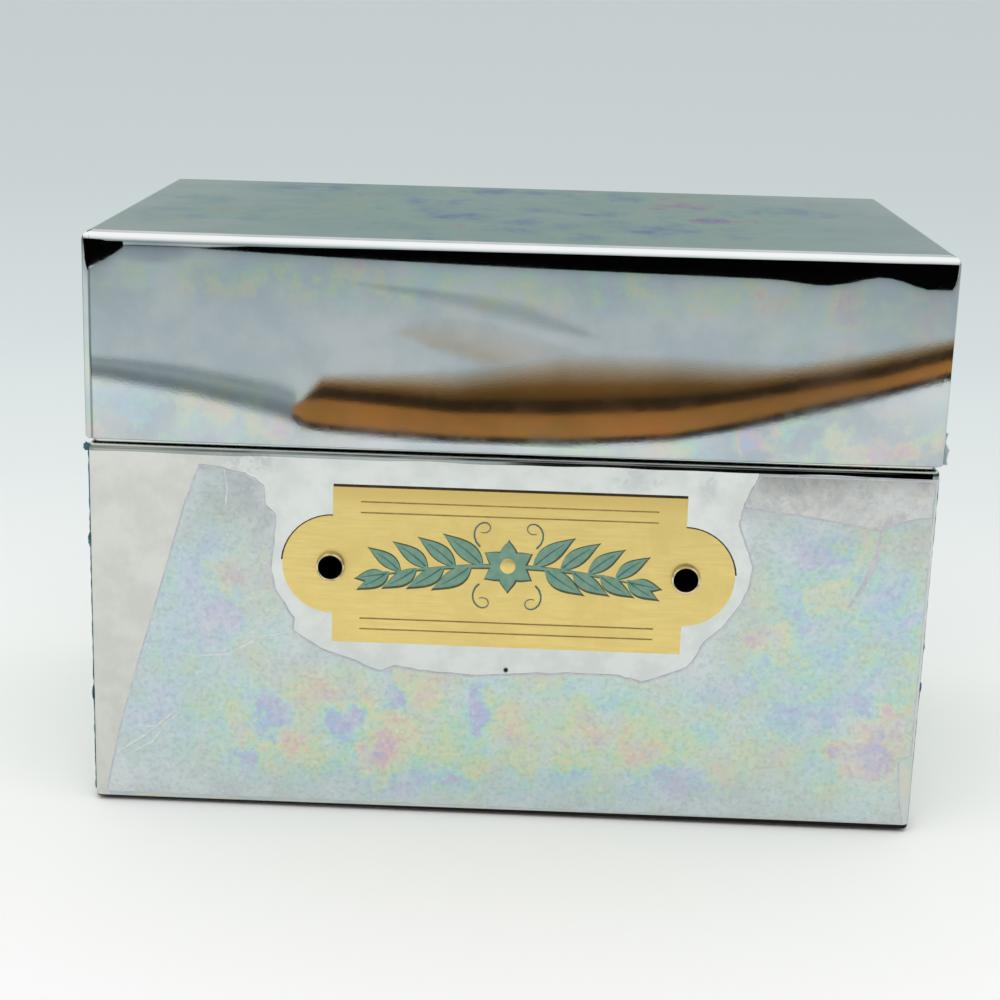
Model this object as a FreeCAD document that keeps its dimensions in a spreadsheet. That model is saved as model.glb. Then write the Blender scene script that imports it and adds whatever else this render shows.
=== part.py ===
"""Sheet-metal card box with a hinged lid, a riveted nameplate and torn protective film.

Frame: millimetres, X to the right, the front faces -Y, +Z up.
The origin is the middle of the rest face under the body, below the middle of the walls.
The lid is closed as modelled and swings back about the hinge pins behind the box.
"""
import FreeCAD
import Part
import math
import os
import Sketcher
from FreeCAD import Placement, Rotation, Vector

# Driving sizes, each written once: alias, value in millimetres or degrees, meaning
SIZES = [
    ("lid_width", 139.7, "outside width of the lid"),
    ("lid_depth", 88.9, "outside depth of the lid, without the crown"),
    ("box_height", 97.5, "height from the rest face to the top of the lid"),
    ("seam_height", 63.6, "height of the lid's lower edge"),
    ("lid_crown", 1.0, "how far the middle of the lid's front stands out"),
    ("sheet", 0.4, "thickness of the plated steel sheet"),
    ("corner_radius", 1.2, "outside radius of the upright corners"),
    ("lid_bend", 1.1, "outside radius round the top of the lid"),
    ("hem_height", 4.0, "height of the hem folded inside the lid's edge"),
    ("hem_round", 0.35, "rounding of the hem's lower fold"),
    ("side_step", 0.4, "how far the body's walls stand in from the lid's"),
    ("seam_gap", 0.6, "gap between the body's shoulder and the lid's edge"),
    ("shoulder_radius", 0.9, "outside radius of the body's shoulder"),
    ("neck_height", 7.0, "height of the neck above the lid's lower edge"),
    ("neck_clearance", 0.6, "gap between the neck and the lid's hem, each side"),
    ("neck_radius", 0.8, "outside radius of the neck's upright corners"),
    ("base_radius", 0.5, "outside radius round the foot of the body"),
    ("base_flange", 5.0, "width of the flange turned in under the body"),
    ("panel_thickness", 0.5, "thickness of the bottom panel"),
    ("panel_inset", 1.6, "how far the bottom panel stands in from the walls"),
    ("panel_radius", 3.0, "corner radius of the bottom panel"),
    ("plate_width", 58.0, "width of the nameplate between its ears"),
    ("plate_height", 26.6, "height of the nameplate"),
    ("plate_thickness", 0.5, "thickness of the nameplate"),
    ("plate_middle", 43.7, "height of the middle of the nameplate"),
    ("plate_shift", 0.15, "how far the nameplate sits to the right"),
    ("ear_radius", 8.35, "radius of the nameplate's round ears"),
    ("line_width", 0.25, "width of an engraved line"),
    ("line_depth", 0.12, "depth of an engraved line"),
    ("line_length", 48.8, "length of an engraved line"),
    ("line_edge", 2.4, "nameplate's edge to the middle of the outer line"),
    ("line_pitch", 1.83, "spacing of the two lines of a pair"),
    ("eyelet_spacing", 58.6, "distance between the middles of the eyelets"),
    ("eyelet_drop", 0.25, "how far the eyelets sit below the plate's middle"),
    ("eyelet_bore", 3.8, "bore of an eyelet"),
    ("eyelet_wall", 0.25, "wall of an eyelet's tube"),
    ("eyelet_flange", 4.9, "diameter of an eyelet's rolled flange"),
    ("eyelet_lip", 0.5, "height of an eyelet's rolled flange"),
    ("eyelet_tail", 5.4, "diameter of an eyelet's set tail"),
    ("eyelet_tail_height", 0.4, "height of an eyelet's set tail"),
    ("fastener_clearance", 0.05, "gap round an eyelet's or a rivet's shank"),
    ("film_thickness", 0.1, "thickness of the protective film"),
    ("film_margin", 0.6, "gap from the film to the bends round the front"),
    ("hinge_inset", 29.85, "distance from the lid's end to the middle of a hinge"),
    ("hinge_length", 26.0, "length of a hinge"),
    ("leaf_thickness", 0.6, "thickness of a hinge leaf"),
    ("leaf_height", 11.0, "reach of a hinge leaf from the pin"),
    ("pin_diameter", 1.8, "diameter of a hinge pin"),
    ("pin_clearance", 0.05, "gap round a hinge pin"),
    ("pin_head", 2.6, "diameter of a hinge pin's swaged ends"),
    ("pin_head_height", 0.4, "height of a hinge pin's swaged ends"),
    ("lid_knuckle", 10.0, "length of the lid leaf's knuckle"),
    ("knuckle_gap", 0.2, "gap between the ends of two knuckles"),
    ("hinge_gap", 0.2, "gap between the knuckles and the lid's back"),
    ("pivot_drop", 0.4, "how far the pins lie below the lid's lower edge"),
    ("leaf_top_drop", 0.8, "how far the base leaf's plate ends below the pins"),
    ("riser_height", 2.2, "reach of the base leaf's risers below the pins"),
    ("leaf_gap", 0.3, "gap between the lid leaf's plate and the knuckles"),
    ("open_angle", 105.0, "opening angle at which the lid is stopped"),
    ("lug_angle", 20.0, "angle of the stop lug below level, lid closed"),
    ("lug_radius", 0.6, "radius of the stop lug"),
    ("stop_gap", 0.12, "gap left at the stop when the lid is open"),
    ("rivet_pitch", 16.0, "distance between a leaf's two rivets"),
    ("rivet_reach", 7.0, "distance from the pins to the rivets"),
    ("rivet_shank", 1.5, "diameter of a rivet's shank"),
    ("rivet_head", 3.2, "diameter of a rivet's head"),
    ("rivet_head_height", 0.8, "height of a rivet's head"),
    ("rivet_tail", 2.4, "diameter of a rivet's set tail"),
    ("rivet_tail_height", 0.35, "height of a rivet's set tail"),
]

doc = FreeCAD.newDocument("CardBox")
sheet = doc.addObject("Spreadsheet::Sheet", "Sizes")
for row, (alias, value, meaning) in enumerate(SIZES, start=1):
    sheet.set(f"A{row}", alias)
    sheet.set(f"B{row}", str(value))
    sheet.set(f"C{row}", meaning)
    sheet.setAlias(f"B{row}", alias)
doc.recompute()


def s(alias):
    """Return the expression that reads one driving size."""
    return f"Sizes.{alias}"


def amount(expression):
    """Return the number that an expression gives."""
    value = sheet.evalExpression(expression)
    return float(getattr(value, "Value", value))


# Levels and half sizes that several pieces share
LID_X = f"({s('lid_width')}/2)"
LID_Y = f"({s('lid_depth')}/2)"
BODY_X = f"({LID_X}-{s('side_step')})"
BODY_Y = f"({LID_Y}-{s('side_step')})"
NECK_X = f"({LID_X}-2*{s('sheet')}-{s('neck_clearance')})"
NECK_Y = f"({LID_Y}-2*{s('sheet')}-{s('neck_clearance')})"
FOOT_Z = s("panel_thickness")
SHOULDER_Z = f"({s('seam_height')}-{s('seam_gap')})"
NECK_Z = f"({s('seam_height')}+{s('neck_height')})"
FRONT_Y = f"(-{BODY_Y})"
PLATE_FACE_Y = f"({FRONT_Y}-{s('plate_thickness')})"
EYELET_Z = f"({s('plate_middle')}-{s('eyelet_drop')})"
EYELET_RADIUS = f"({s('eyelet_bore')}/2+{s('eyelet_wall')})"
BARREL_RADIUS = f"({s('pin_diameter')}/2+{s('pin_clearance')}+{s('leaf_thickness')})"
BORE_RADIUS = f"({s('pin_diameter')}/2+{s('pin_clearance')})"
PIVOT_Y = f"({LID_Y}+{s('hinge_gap')}+{BARREL_RADIUS})"
PIVOT_Z = f"({s('seam_height')}-{s('pivot_drop')})"
BASE_RIVET_Z = f"({PIVOT_Z}-{s('rivet_reach')})"
LID_RIVET_Z = f"({PIVOT_Z}+{s('rivet_reach')})"
SIDES = {"left": -1, "right": 1}
NEAR = 1e-4


def new_body(label):
    """Add an empty body whose label names its file."""
    body = doc.addObject("PartDesign::Body", label)
    body.Label = label
    return body


def attach(feature, body, role, offsets):
    """Seat a feature on one of its body's origin planes, moved by three expressions."""
    plane = next(o for o in body.Origin.OriginFeatures if o.Role == role)
    feature.AttachmentSupport = [(plane, "")]
    feature.MapMode = "FlatFace"
    for axis, expression in zip("xyz", offsets):
        feature.setExpression(f"AttachmentOffset.Base.{axis}", expression)


def add_block(body, name, low, high, cut=False):
    """Add or cut a block between two corners, each given as three expressions."""
    kind = "PartDesign::SubtractiveBox" if cut else "PartDesign::AdditiveBox"
    block = body.newObject(kind, name)
    for size, first, last in zip(("Length", "Width", "Height"), low, high):
        block.setExpression(size, f"{last}-{first}")
    attach(block, body, "XY_Plane", low)
    return block


def add_rod(body, name, radius, axis, at, first, last, cut=False):
    """Add or cut a cylinder along X or Y.

    `at` holds the two expressions that place its centre line: Y and Z for a rod along X,
    X and Z for a rod along Y. `first` and `last` are where it starts and ends.
    """
    kind = "PartDesign::SubtractiveCylinder" if cut else "PartDesign::AdditiveCylinder"
    rod = body.newObject(kind, name)
    rod.setExpression("Radius", radius)
    rod.setExpression("Height", f"{last}-{first}")
    if axis == "X":
        attach(rod, body, "YZ_Plane", (at[0], at[1], first))
    else:
        attach(rod, body, "XZ_Plane", (at[0], at[1], f"-({last})"))
    return rod


def rounded_outline(body, name, half_x, half_y, radius, level, crown=None):
    """Sketch a level rectangle with round corners; a crown bows its front outwards."""
    sketch = body.newObject("Sketcher::SketchObject", name)
    attach(sketch, body, "XY_Plane", ("0", "0", level))
    x, y, r = amount(half_x), amount(half_y), amount(radius)
    inner_x, inner_y = x - r, y - r
    up = Vector(0, 0, 1)

    def corner(centre_x, centre_y, start):
        circle = Part.Circle(Vector(centre_x, centre_y, 0), up, r)
        return Part.ArcOfCircle(circle, math.radians(start), math.radians(start + 90))

    def side(x1, y1, x2, y2):
        return Part.LineSegment(Vector(x1, y1, 0), Vector(x2, y2, 0))

    if crown is None:
        front = side(-inner_x, -y, inner_x, -y)
    else:
        bow = amount(crown)
        bow_radius = (inner_x**2 + bow**2) / (2 * bow) + r
        half_angle = math.asin(inner_x / (bow_radius - r))
        circle = Part.Circle(Vector(0, bow_radius - y - bow, 0), up, bow_radius)
        middle = -math.pi / 2
        front = Part.ArcOfCircle(circle, middle - half_angle, middle + half_angle)
    shapes = [front, corner(inner_x, -inner_y, 270), side(x, -inner_y, x, inner_y),
              corner(inner_x, inner_y, 0), side(inner_x, y, -inner_x, y),
              corner(-inner_x, inner_y, 90), side(-x, inner_y, -x, -inner_y),
              corner(-inner_x, -inner_y, 180)]
    sketch.addGeometry(shapes, False)
    for index in range(8):
        sketch.addConstraint(Sketcher.Constraint("Tangent", index, 2, (index + 1) % 8, 1))
    sketch.addConstraint(Sketcher.Constraint("Vertical", 2))
    sketch.addConstraint(Sketcher.Constraint("Horizontal", 4))
    sketch.addConstraint(Sketcher.Constraint("Vertical", 6))
    for index in (3, 5, 7):
        sketch.addConstraint(Sketcher.Constraint("Equal", 1, index))
    sketch.addConstraint(Sketcher.Constraint("Symmetric", 1, 3, 7, 3, -2))
    drive(sketch, Sketcher.Constraint("Radius", 1, r), radius)
    drive(sketch, Sketcher.Constraint("DistanceX", -1, 1, 1, 3, inner_x),
          f"{half_x}-{radius}")
    drive(sketch, Sketcher.Constraint("DistanceY", 1, 3, -1, 1, inner_y),
          f"{half_y}-{radius}")
    drive(sketch, Sketcher.Constraint("DistanceY", -1, 1, 3, 3, inner_y),
          f"{half_y}-{radius}")
    if crown is not None:
        drive(sketch, Sketcher.Constraint("Radius", 0, bow_radius),
              f"(({half_x}-{radius})^2+{crown}^2)/(2*{crown})+{radius}")
    return sketch


def drive(sketch, constraint, expression):
    """Add a constraint whose value an expression gives."""
    index = sketch.addConstraint(constraint)
    sketch.setExpression(f"Constraints[{index}]", expression)


def extrude(body, kind, name, sketch, length, upwards=True):
    """Pad or pocket a level sketch by the length that an expression gives."""
    feature = body.newObject(f"PartDesign::{kind}", name)
    feature.Profile = sketch
    feature.setExpression("Length", length)
    feature.Reversed = upwards == (kind == "Pocket")
    sketch.Visibility = False
    doc.recompute()
    return feature


def round_edges(body, name, radius, chosen):
    """Fillet the edges of the body's last feature that a test picks."""
    doc.recompute()
    base = body.Tip
    names = [f"Edge{i}" for i, edge in enumerate(base.Shape.Edges, start=1) if chosen(edge)]
    fillet = body.newObject("PartDesign::Fillet", name)
    fillet.Base = (base, names)
    fillet.setExpression("Radius", radius)
    doc.recompute()
    return fillet


def at_level(level):
    """Return a test for edges that lie flat at one height."""
    height = amount(level)

    def test(edge):
        box = edge.BoundBox
        return abs(box.ZMin - height) < NEAR and abs(box.ZMax - height) < NEAR

    return test


def at_depth(depth):
    """Return a test for edges that lie in one plane across Y."""
    place = amount(depth)

    def test(edge):
        box = edge.BoundBox
        return abs(box.YMin - place) < NEAR and abs(box.YMax - place) < NEAR

    return test


def hinge_middle(side):
    """Return the X of a hinge's middle."""
    return f"({SIDES[side]}*({LID_X}-{s('hinge_inset')}))"


def eyelet_middle(side):
    """Return the X of an eyelet's middle."""
    return f"({s('plate_shift')}+{SIDES[side]}*{s('eyelet_spacing')}/2)"


def rivet_places():
    """Yield the X of every rivet in one row across both hinges, with its name."""
    for side in SIDES:
        for end, sign in SIDES.items():
            yield f"{side}_{end}", f"({hinge_middle(side)}+{sign}*{s('rivet_pitch')}/2)"


def drill_rivet_row(body, level, first, last):
    """Drill the holes of one row of rivets through a wall between two depths."""
    radius = f"{s('rivet_shank')}/2+{s('fastener_clearance')}"
    for name, x in rivet_places():
        add_rod(body, f"RivetHole_{name}", radius, "Y", (x, level), first, last, cut=True)


def body_shell():
    """The body's wall: a foot flange, four sides, a rounded shoulder and a neck."""
    body = new_body("body_shell")
    wall = s("sheet")
    inner_radius = f"({s('corner_radius')}-{wall})"
    outer = rounded_outline(body, "WallOutline", BODY_X, BODY_Y, s("corner_radius"), FOOT_Z)
    extrude(body, "Pad", "Walls", outer, f"{SHOULDER_Z}-{FOOT_Z}")
    floor = f"({FOOT_Z}+{wall})"
    ceiling = f"({SHOULDER_Z}-{wall})"
    hollow = rounded_outline(body, "HollowOutline", f"({BODY_X}-{wall})",
                             f"({BODY_Y}-{wall})", inner_radius, floor)
    extrude(body, "Pocket", "Hollow", hollow, f"{ceiling}-{floor}")
    round_edges(body, "InnerShoulder", f"{s('shoulder_radius')}-{wall}", at_level(ceiling))
    round_edges(body, "InnerFootBend", f"{s('base_radius')}-{wall}", at_level(floor))
    round_edges(body, "Shoulder", s("shoulder_radius"), at_level(SHOULDER_Z))
    round_edges(body, "FootBend", s("base_radius"), at_level(FOOT_Z))
    neck = rounded_outline(body, "NeckOutline", NECK_X, NECK_Y, s("neck_radius"), ceiling)
    extrude(body, "Pad", "Neck", neck, f"{NECK_Z}-{ceiling}")
    bore = rounded_outline(body, "NeckBoreOutline", f"({NECK_X}-{wall})",
                           f"({NECK_Y}-{wall})", f"({s('neck_radius')}-{wall})", ceiling)
    extrude(body, "Pocket", "NeckBore", bore, f"{NECK_Z}-{ceiling}")
    flange = s("base_flange")
    opening = rounded_outline(body, "FloorOutline", f"({BODY_X}-{flange})",
                              f"({BODY_Y}-{flange})", s("corner_radius"), FOOT_Z)
    extrude(body, "Pocket", "FloorOpening", opening, wall)
    for side in SIDES:
        add_rod(body, f"EyeletHole_{side}", f"{EYELET_RADIUS}+{s('fastener_clearance')}",
                "Y", (eyelet_middle(side), EYELET_Z), f"({FRONT_Y}-{wall})",
                f"({FRONT_Y}+2*{wall})", cut=True)
    drill_rivet_row(body, BASE_RIVET_Z, f"({BODY_Y}-2*{wall})", f"({BODY_Y}+{wall})")
    return body


def bottom_panel():
    """The panel that closes the body below and that the box stands on."""
    body = new_body("bottom_panel")
    inset = s("panel_inset")
    outline = rounded_outline(body, "PanelOutline", f"({BODY_X}-{inset})",
                              f"({BODY_Y}-{inset})", s("panel_radius"), "0")
    extrude(body, "Pad", "Panel", outline, s("panel_thickness"))
    return body


def lid_shell():
    """The drawn lid: a top, four sides, a bowed front and a hem folded inwards."""
    body = new_body("lid_shell")
    wall = s("sheet")
    crown = s("lid_crown")
    seam = s("seam_height")
    top = s("box_height")
    outer = rounded_outline(body, "LidOutline", LID_X, LID_Y, s("corner_radius"), seam, crown)
    extrude(body, "Pad", "Block", outer, f"{top}-{seam}")
    mouth = rounded_outline(body, "MouthOutline", f"({LID_X}-2*{wall})",
                            f"({LID_Y}-2*{wall})", f"({s('corner_radius')}-2*{wall})",
                            seam, crown)
    extrude(body, "Pocket", "Mouth", mouth, s("hem_height"))
    round_edges(body, "HemFold", s("hem_round"), at_level(seam))
    above_hem = f"({seam}+{s('hem_height')})"
    hollow = rounded_outline(body, "HollowOutline", f"({LID_X}-{wall})", f"({LID_Y}-{wall})",
                             f"({s('corner_radius')}-{wall})", above_hem, crown)
    ceiling = f"({top}-{wall})"
    extrude(body, "Pocket", "Hollow", hollow, f"{ceiling}-{above_hem}")
    round_edges(body, "InnerTopBend", f"{s('lid_bend')}-{wall}", at_level(ceiling))
    round_edges(body, "TopBend", s("lid_bend"), at_level(top))
    drill_rivet_row(body, LID_RIVET_Z, f"({LID_Y}-2*{wall})", f"({LID_Y}+{wall})")
    return body


def nameplate():
    """The flat plate with a round ear at each end and two pairs of engraved lines."""
    body = new_body("nameplate")
    shift = s("plate_shift")
    half_x = f"{s('plate_width')}/2"
    half_z = f"{s('plate_height')}/2"
    middle = s("plate_middle")
    low = (f"({shift}-{half_x})", PLATE_FACE_Y, f"({middle}-{half_z})")
    high = (f"({shift}+{half_x})", FRONT_Y, f"({middle}+{half_z})")
    add_block(body, "Field", low, high)
    for side, sign in SIDES.items():
        x = f"({shift}+{sign}*{half_x})"
        add_rod(body, f"Ear_{side}", s("ear_radius"), "Y", (x, middle), PLATE_FACE_Y, FRONT_Y)
        add_rod(body, f"EyeletHole_{side}", f"{EYELET_RADIUS}+{s('fastener_clearance')}",
                "Y", (eyelet_middle(side), EYELET_Z), f"({PLATE_FACE_Y}-{s('plate_thickness')})",
                f"({FRONT_Y}+{s('plate_thickness')})", cut=True)
    groove_back = f"({PLATE_FACE_Y}+{s('line_depth')})"
    groove_front = f"({PLATE_FACE_Y}-{s('line_depth')})"
    for edge, sign in {"lower": -1, "upper": 1}.items():
        for line in range(2):
            inward = f"({s('line_edge')}+{line}*{s('line_pitch')})"
            z = f"({middle}+{sign}*({half_z}-{inward}))"
            low = (f"({shift}-{s('line_length')}/2)", groove_front,
                   f"({z}-{s('line_width')}/2)")
            high = (f"({shift}+{s('line_length')}/2)", groove_back,
                    f"({z}+{s('line_width')}/2)")
            add_block(body, f"Line_{edge}_{line}", low, high, cut=True)
    return body


def eyelet(side):
    """A tubular eyelet through the nameplate and the body's front."""
    body = new_body(f"eyelet_{side}")
    at = (eyelet_middle(side), EYELET_Z)
    lip = f"({PLATE_FACE_Y}-{s('eyelet_lip')})"
    wall_inside = f"({FRONT_Y}+{s('sheet')})"
    end = f"({wall_inside}+{s('eyelet_tail_height')})"
    add_rod(body, "Tube", EYELET_RADIUS, "Y", at, lip, end)
    add_rod(body, "Flange", f"{s('eyelet_flange')}/2", "Y", at, lip, PLATE_FACE_Y)
    add_rod(body, "Tail", f"{s('eyelet_tail')}/2", "Y", at, wall_inside, end)
    add_rod(body, "Bore", f"{s('eyelet_bore')}/2", "Y", at, f"({lip}-{s('eyelet_lip')})",
            f"({end}+{s('eyelet_tail_height')})", cut=True)
    roll = f"({s('eyelet_flange')}-{s('eyelet_bore')})/4*0.9"
    round_edges(body, "Roll", roll, at_depth(lip))
    return body


def base_leaf(side):
    """The fixed hinge leaf: a plate on the body's back that steps out to two knuckles."""
    body = new_body(f"hinge_leaf_base_{side}")
    middle = hinge_middle(side)
    leaf = s("leaf_thickness")
    half = f"({s('hinge_length')}/2)"
    slot = f"({s('lid_knuckle')}/2+{s('knuckle_gap')})"
    add_block(body, "Plate",
              (f"({middle}-{half})", BODY_Y, f"({PIVOT_Z}-{s('leaf_height')})"),
              (f"({middle}+{half})", f"({BODY_Y}+{leaf})",
               f"({PIVOT_Z}-{s('leaf_top_drop')})"))
    riser_back = f"({BODY_Y}+{leaf}/2)"
    riser_face = f"({PIVOT_Y}-{BARREL_RADIUS}+{leaf})"
    for end, sign in SIDES.items():
        first = f"({middle}-{half})" if sign < 0 else f"({middle}+{slot})"
        last = f"({middle}-{slot})" if sign < 0 else f"({middle}+{half})"
        add_block(body, f"Riser_{end}",
                  (first, riser_back, f"({PIVOT_Z}-{s('riser_height')})"),
                  (last, riser_face, PIVOT_Z))
        add_rod(body, f"Knuckle_{end}", BARREL_RADIUS, "X", (PIVOT_Y, PIVOT_Z), first, last)
        add_rod(body, f"Bore_{end}", BORE_RADIUS, "X", (PIVOT_Y, PIVOT_Z), first, last,
                cut=True)
    drill_leaf(body, side, BASE_RIVET_Z, BODY_Y)
    return body


def lid_leaf(side):
    """The moving hinge leaf: a plate on the lid's back, one knuckle and a stop lug."""
    body = new_body(f"hinge_leaf_lid_{side}")
    middle = hinge_middle(side)
    leaf = s("leaf_thickness")
    half = f"({s('hinge_length')}/2)"
    tongue = f"({s('lid_knuckle')}/2)"
    face = f"({LID_Y}+{leaf})"
    plate_foot = f"({PIVOT_Z}+{BARREL_RADIUS}+{s('leaf_gap')})"
    add_block(body, "Plate", (f"({middle}-{half})", LID_Y, plate_foot),
              (f"({middle}+{half})", face, f"({PIVOT_Z}+{s('leaf_height')})"))
    first, last = f"({middle}-{tongue})", f"({middle}+{tongue})"
    add_block(body, "Tongue", (first, LID_Y, PIVOT_Z), (last, face, plate_foot))
    add_rod(body, "Knuckle", BARREL_RADIUS, "X", (PIVOT_Y, PIVOT_Z), first, last)
    to_plate = f"({PIVOT_Y}-{BODY_Y}-{leaf})"
    swing = f"((180-{s('lug_angle')}-{s('open_angle')})*1deg)"
    reach = f"(({to_plate}-{s('stop_gap')}-{s('lug_radius')})/cos({swing}))"
    lug = (f"({PIVOT_Y}+{reach}*cos({s('lug_angle')}*1deg))",
           f"({PIVOT_Z}-{reach}*sin({s('lug_angle')}*1deg))")
    add_rod(body, "StopLug", s("lug_radius"), "X", lug, first, last)
    add_rod(body, "Bore", BORE_RADIUS, "X", (PIVOT_Y, PIVOT_Z), first, last, cut=True)
    drill_leaf(body, side, LID_RIVET_Z, LID_Y)
    return body


def drill_leaf(body, side, level, wall_face):
    """Drill a leaf's two rivet holes; the leaf lies on the wall face given."""
    leaf = s("leaf_thickness")
    radius = f"{s('rivet_shank')}/2+{s('fastener_clearance')}"
    for end, sign in SIDES.items():
        x = f"({hinge_middle(side)}+{sign}*{s('rivet_pitch')}/2)"
        add_rod(body, f"RivetHole_{end}", radius, "Y", (x, level), f"({wall_face}-{leaf})",
                f"({wall_face}+2*{leaf})", cut=True)


def hinge_pin(side):
    """A hinge pin with a swaged head at each end."""
    body = new_body(f"hinge_pin_{side}")
    middle = hinge_middle(side)
    at = (PIVOT_Y, PIVOT_Z)
    inside = f"({s('hinge_length')}/2+{s('pin_clearance')})"
    outside = f"({inside}+{s('pin_head_height')})"
    add_rod(body, "Shank", f"{s('pin_diameter')}/2", "X", at, f"({middle}-{outside})",
            f"({middle}+{outside})")
    radius = f"{s('pin_head')}/2"
    add_rod(body, "Head_left", radius, "X", at, f"({middle}-{outside})",
            f"({middle}-{inside})")
    add_rod(body, "Head_right", radius, "X", at, f"({middle}+{inside})",
            f"({middle}+{outside})")
    return body


def rivet_row(label, level, wall_face):
    """Four rivets that hold a row of hinge leaves to a wall, as separate solids."""
    head_seat = f"({wall_face}+{s('leaf_thickness')})"
    inside = f"({wall_face}-{s('sheet')})"
    tail_end = f"({inside}-{s('rivet_tail_height')})"
    outwards = Rotation(Vector(1, 0, 0), -90)
    rivets = []
    for name, x in rivet_places():
        head = doc.addObject("Part::Ellipsoid", f"{label}_head_{name}")
        head.Angle1 = 0
        head.setExpression("Radius1", s("rivet_head_height"))
        head.setExpression("Radius2", f"{s('rivet_head')}/2")
        shank = doc.addObject("Part::Cylinder", f"{label}_shank_{name}")
        shank.setExpression("Radius", f"{s('rivet_shank')}/2")
        shank.setExpression("Height", f"{head_seat}-{tail_end}")
        tail = doc.addObject("Part::Cylinder", f"{label}_tail_{name}")
        tail.setExpression("Radius", f"{s('rivet_tail')}/2")
        tail.setExpression("Height", s("rivet_tail_height"))
        for piece, y in ((head, head_seat), (shank, tail_end), (tail, tail_end)):
            piece.Placement = Placement(Vector(0, 0, 0), outwards)
            for axis, expression in zip("xyz", (x, y, level)):
                piece.setExpression(f"Placement.Base.{axis}", expression)
        rivet = doc.addObject("Part::MultiFuse", f"{label}_{name}")
        rivet.Shapes = [head, shank, tail]
        rivets.append(rivet)
    row = doc.addObject("Part::Compound", label)
    row.Links = rivets
    row.Label = label
    return row


def film_front():
    """The protective film left on the body's front, torn away round the nameplate.

    Its outer edges follow the front's flat; the torn edge is a run of short tears.
    """
    margin = amount(s("film_margin"))
    right = amount(BODY_X) - amount(s("corner_radius")) - margin
    foot = amount(FOOT_Z) + amount(s("base_radius")) + margin
    top = amount(SHOULDER_Z) - amount(s("shoulder_radius")) - margin
    middle_x = amount(s("plate_shift"))
    middle_z = amount(s("plate_middle"))
    half_x = amount(s("plate_width")) / 2
    half_z = amount(s("plate_height")) / 2
    ear = amount(s("ear_radius"))
    end_x = half_x + ear
    # The torn edge: from the top on the left, under the plate, to the top on the right,
    # as distances outwards from the nameplate's own edges.
    torn = [
        (-end_x - 3.2, top - middle_z - 1.0),
        (-end_x - 2.4, half_z - 2.5),
        (-end_x - 0.6, ear - 0.5),
        (-end_x - 1.2, 0.8),
        (-end_x - 0.8, -ear + 4.0),
        (-end_x + 3.2, -half_z + 3.6),
        (-half_x - 1.6, -half_z + 0.8),
        (-half_x + 4.2, -half_z - 1.9),
        (-half_x + 9.0, -half_z - 3.8),
        (-half_x + 12.0, -half_z - 3.0),
        (-half_x + 20.0, -half_z - 4.2),
        (half_x - 20.0, -half_z - 3.4),
        (half_x - 7.0, -half_z - 3.4),
        (half_x - 3.0, -half_z - 4.4),
        (half_x + 3.6, -half_z - 1.4),
        (half_x + 5.4, -half_z + 1.6),
        (end_x + 0.4, -half_z + 6.6),
        (end_x + 3.0, -ear + 4.0),
        (end_x + 2.4, 2.6),
        (end_x + 0.9, ear - 1.5),
        (end_x + 2.6, half_z - 2.5),
        (end_x + 4.0, top - middle_z - 1.6),
        (end_x + 4.2, top - middle_z),
    ]
    left_top = -end_x - 13.6
    left_foot = left_top - 15.2
    points = [(left_foot, foot), (left_top - 3.5, middle_z + half_z - 4.0),
              (left_top, top)]
    points += [(middle_x + x, middle_z + z) for x, z in torn]
    points += [(right, top), (right, foot)]
    depth = amount(FRONT_Y) - amount(s("film_thickness"))
    corners = [Vector(x, depth, z) for x, z in points]
    face = Part.Face(Part.makePolygon(corners + [corners[0]]))
    film = doc.addObject("Part::Feature", "film_front")
    film.Shape = face.extrude(Vector(0, amount(s("film_thickness")), 0))
    film.Label = "film_front"
    return film


def build():
    """Build every piece of the box, in the order in which it is put together."""
    pieces = [body_shell(), bottom_panel(), nameplate()]
    pieces += [eyelet(side) for side in SIDES]
    pieces.append(film_front())
    pieces += [base_leaf(side) for side in SIDES]
    pieces += [hinge_pin(side) for side in SIDES]
    pieces.append(rivet_row("hinge_rivets_base", BASE_RIVET_Z, BODY_Y))
    pieces.append(lid_shell())
    pieces += [lid_leaf(side) for side in SIDES]
    pieces.append(rivet_row("hinge_rivets_lid", LID_RIVET_Z, LID_Y))
    return pieces


def write(pieces):
    """Check every object of the document, then write each piece to its own file."""
    doc.recompute()
    failed = [o.Name for o in doc.Objects if {"Invalid", "Error"} & set(o.State)]
    if failed:
        raise RuntimeError(f"objects that failed: {failed}")
    for piece in pieces:
        shape = piece.Shape
        if shape.isNull() or not shape.isValid():
            raise RuntimeError(f"{piece.Label} has no valid shape")
    os.makedirs("parts", exist_ok=True)
    for piece in pieces:
        shape = piece.Shape
        shape.exportStep(f"parts/{piece.Label}.step")
        print(f"{piece.Label}: {len(shape.Solids)} solid(s), {shape.Volume:.1f} mm3")


write(build())
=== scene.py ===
"""Looks of a chrome-plated recipe box: its finishes, its torn film, its plate, the floor and the camera."""

from __future__ import annotations

import logging
import math
from collections.abc import Callable, Mapping, Sequence
from dataclasses import dataclass
from enum import Enum
from functools import cache

import bmesh
import bpy
from mathutils import Matrix, Vector, noise

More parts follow.
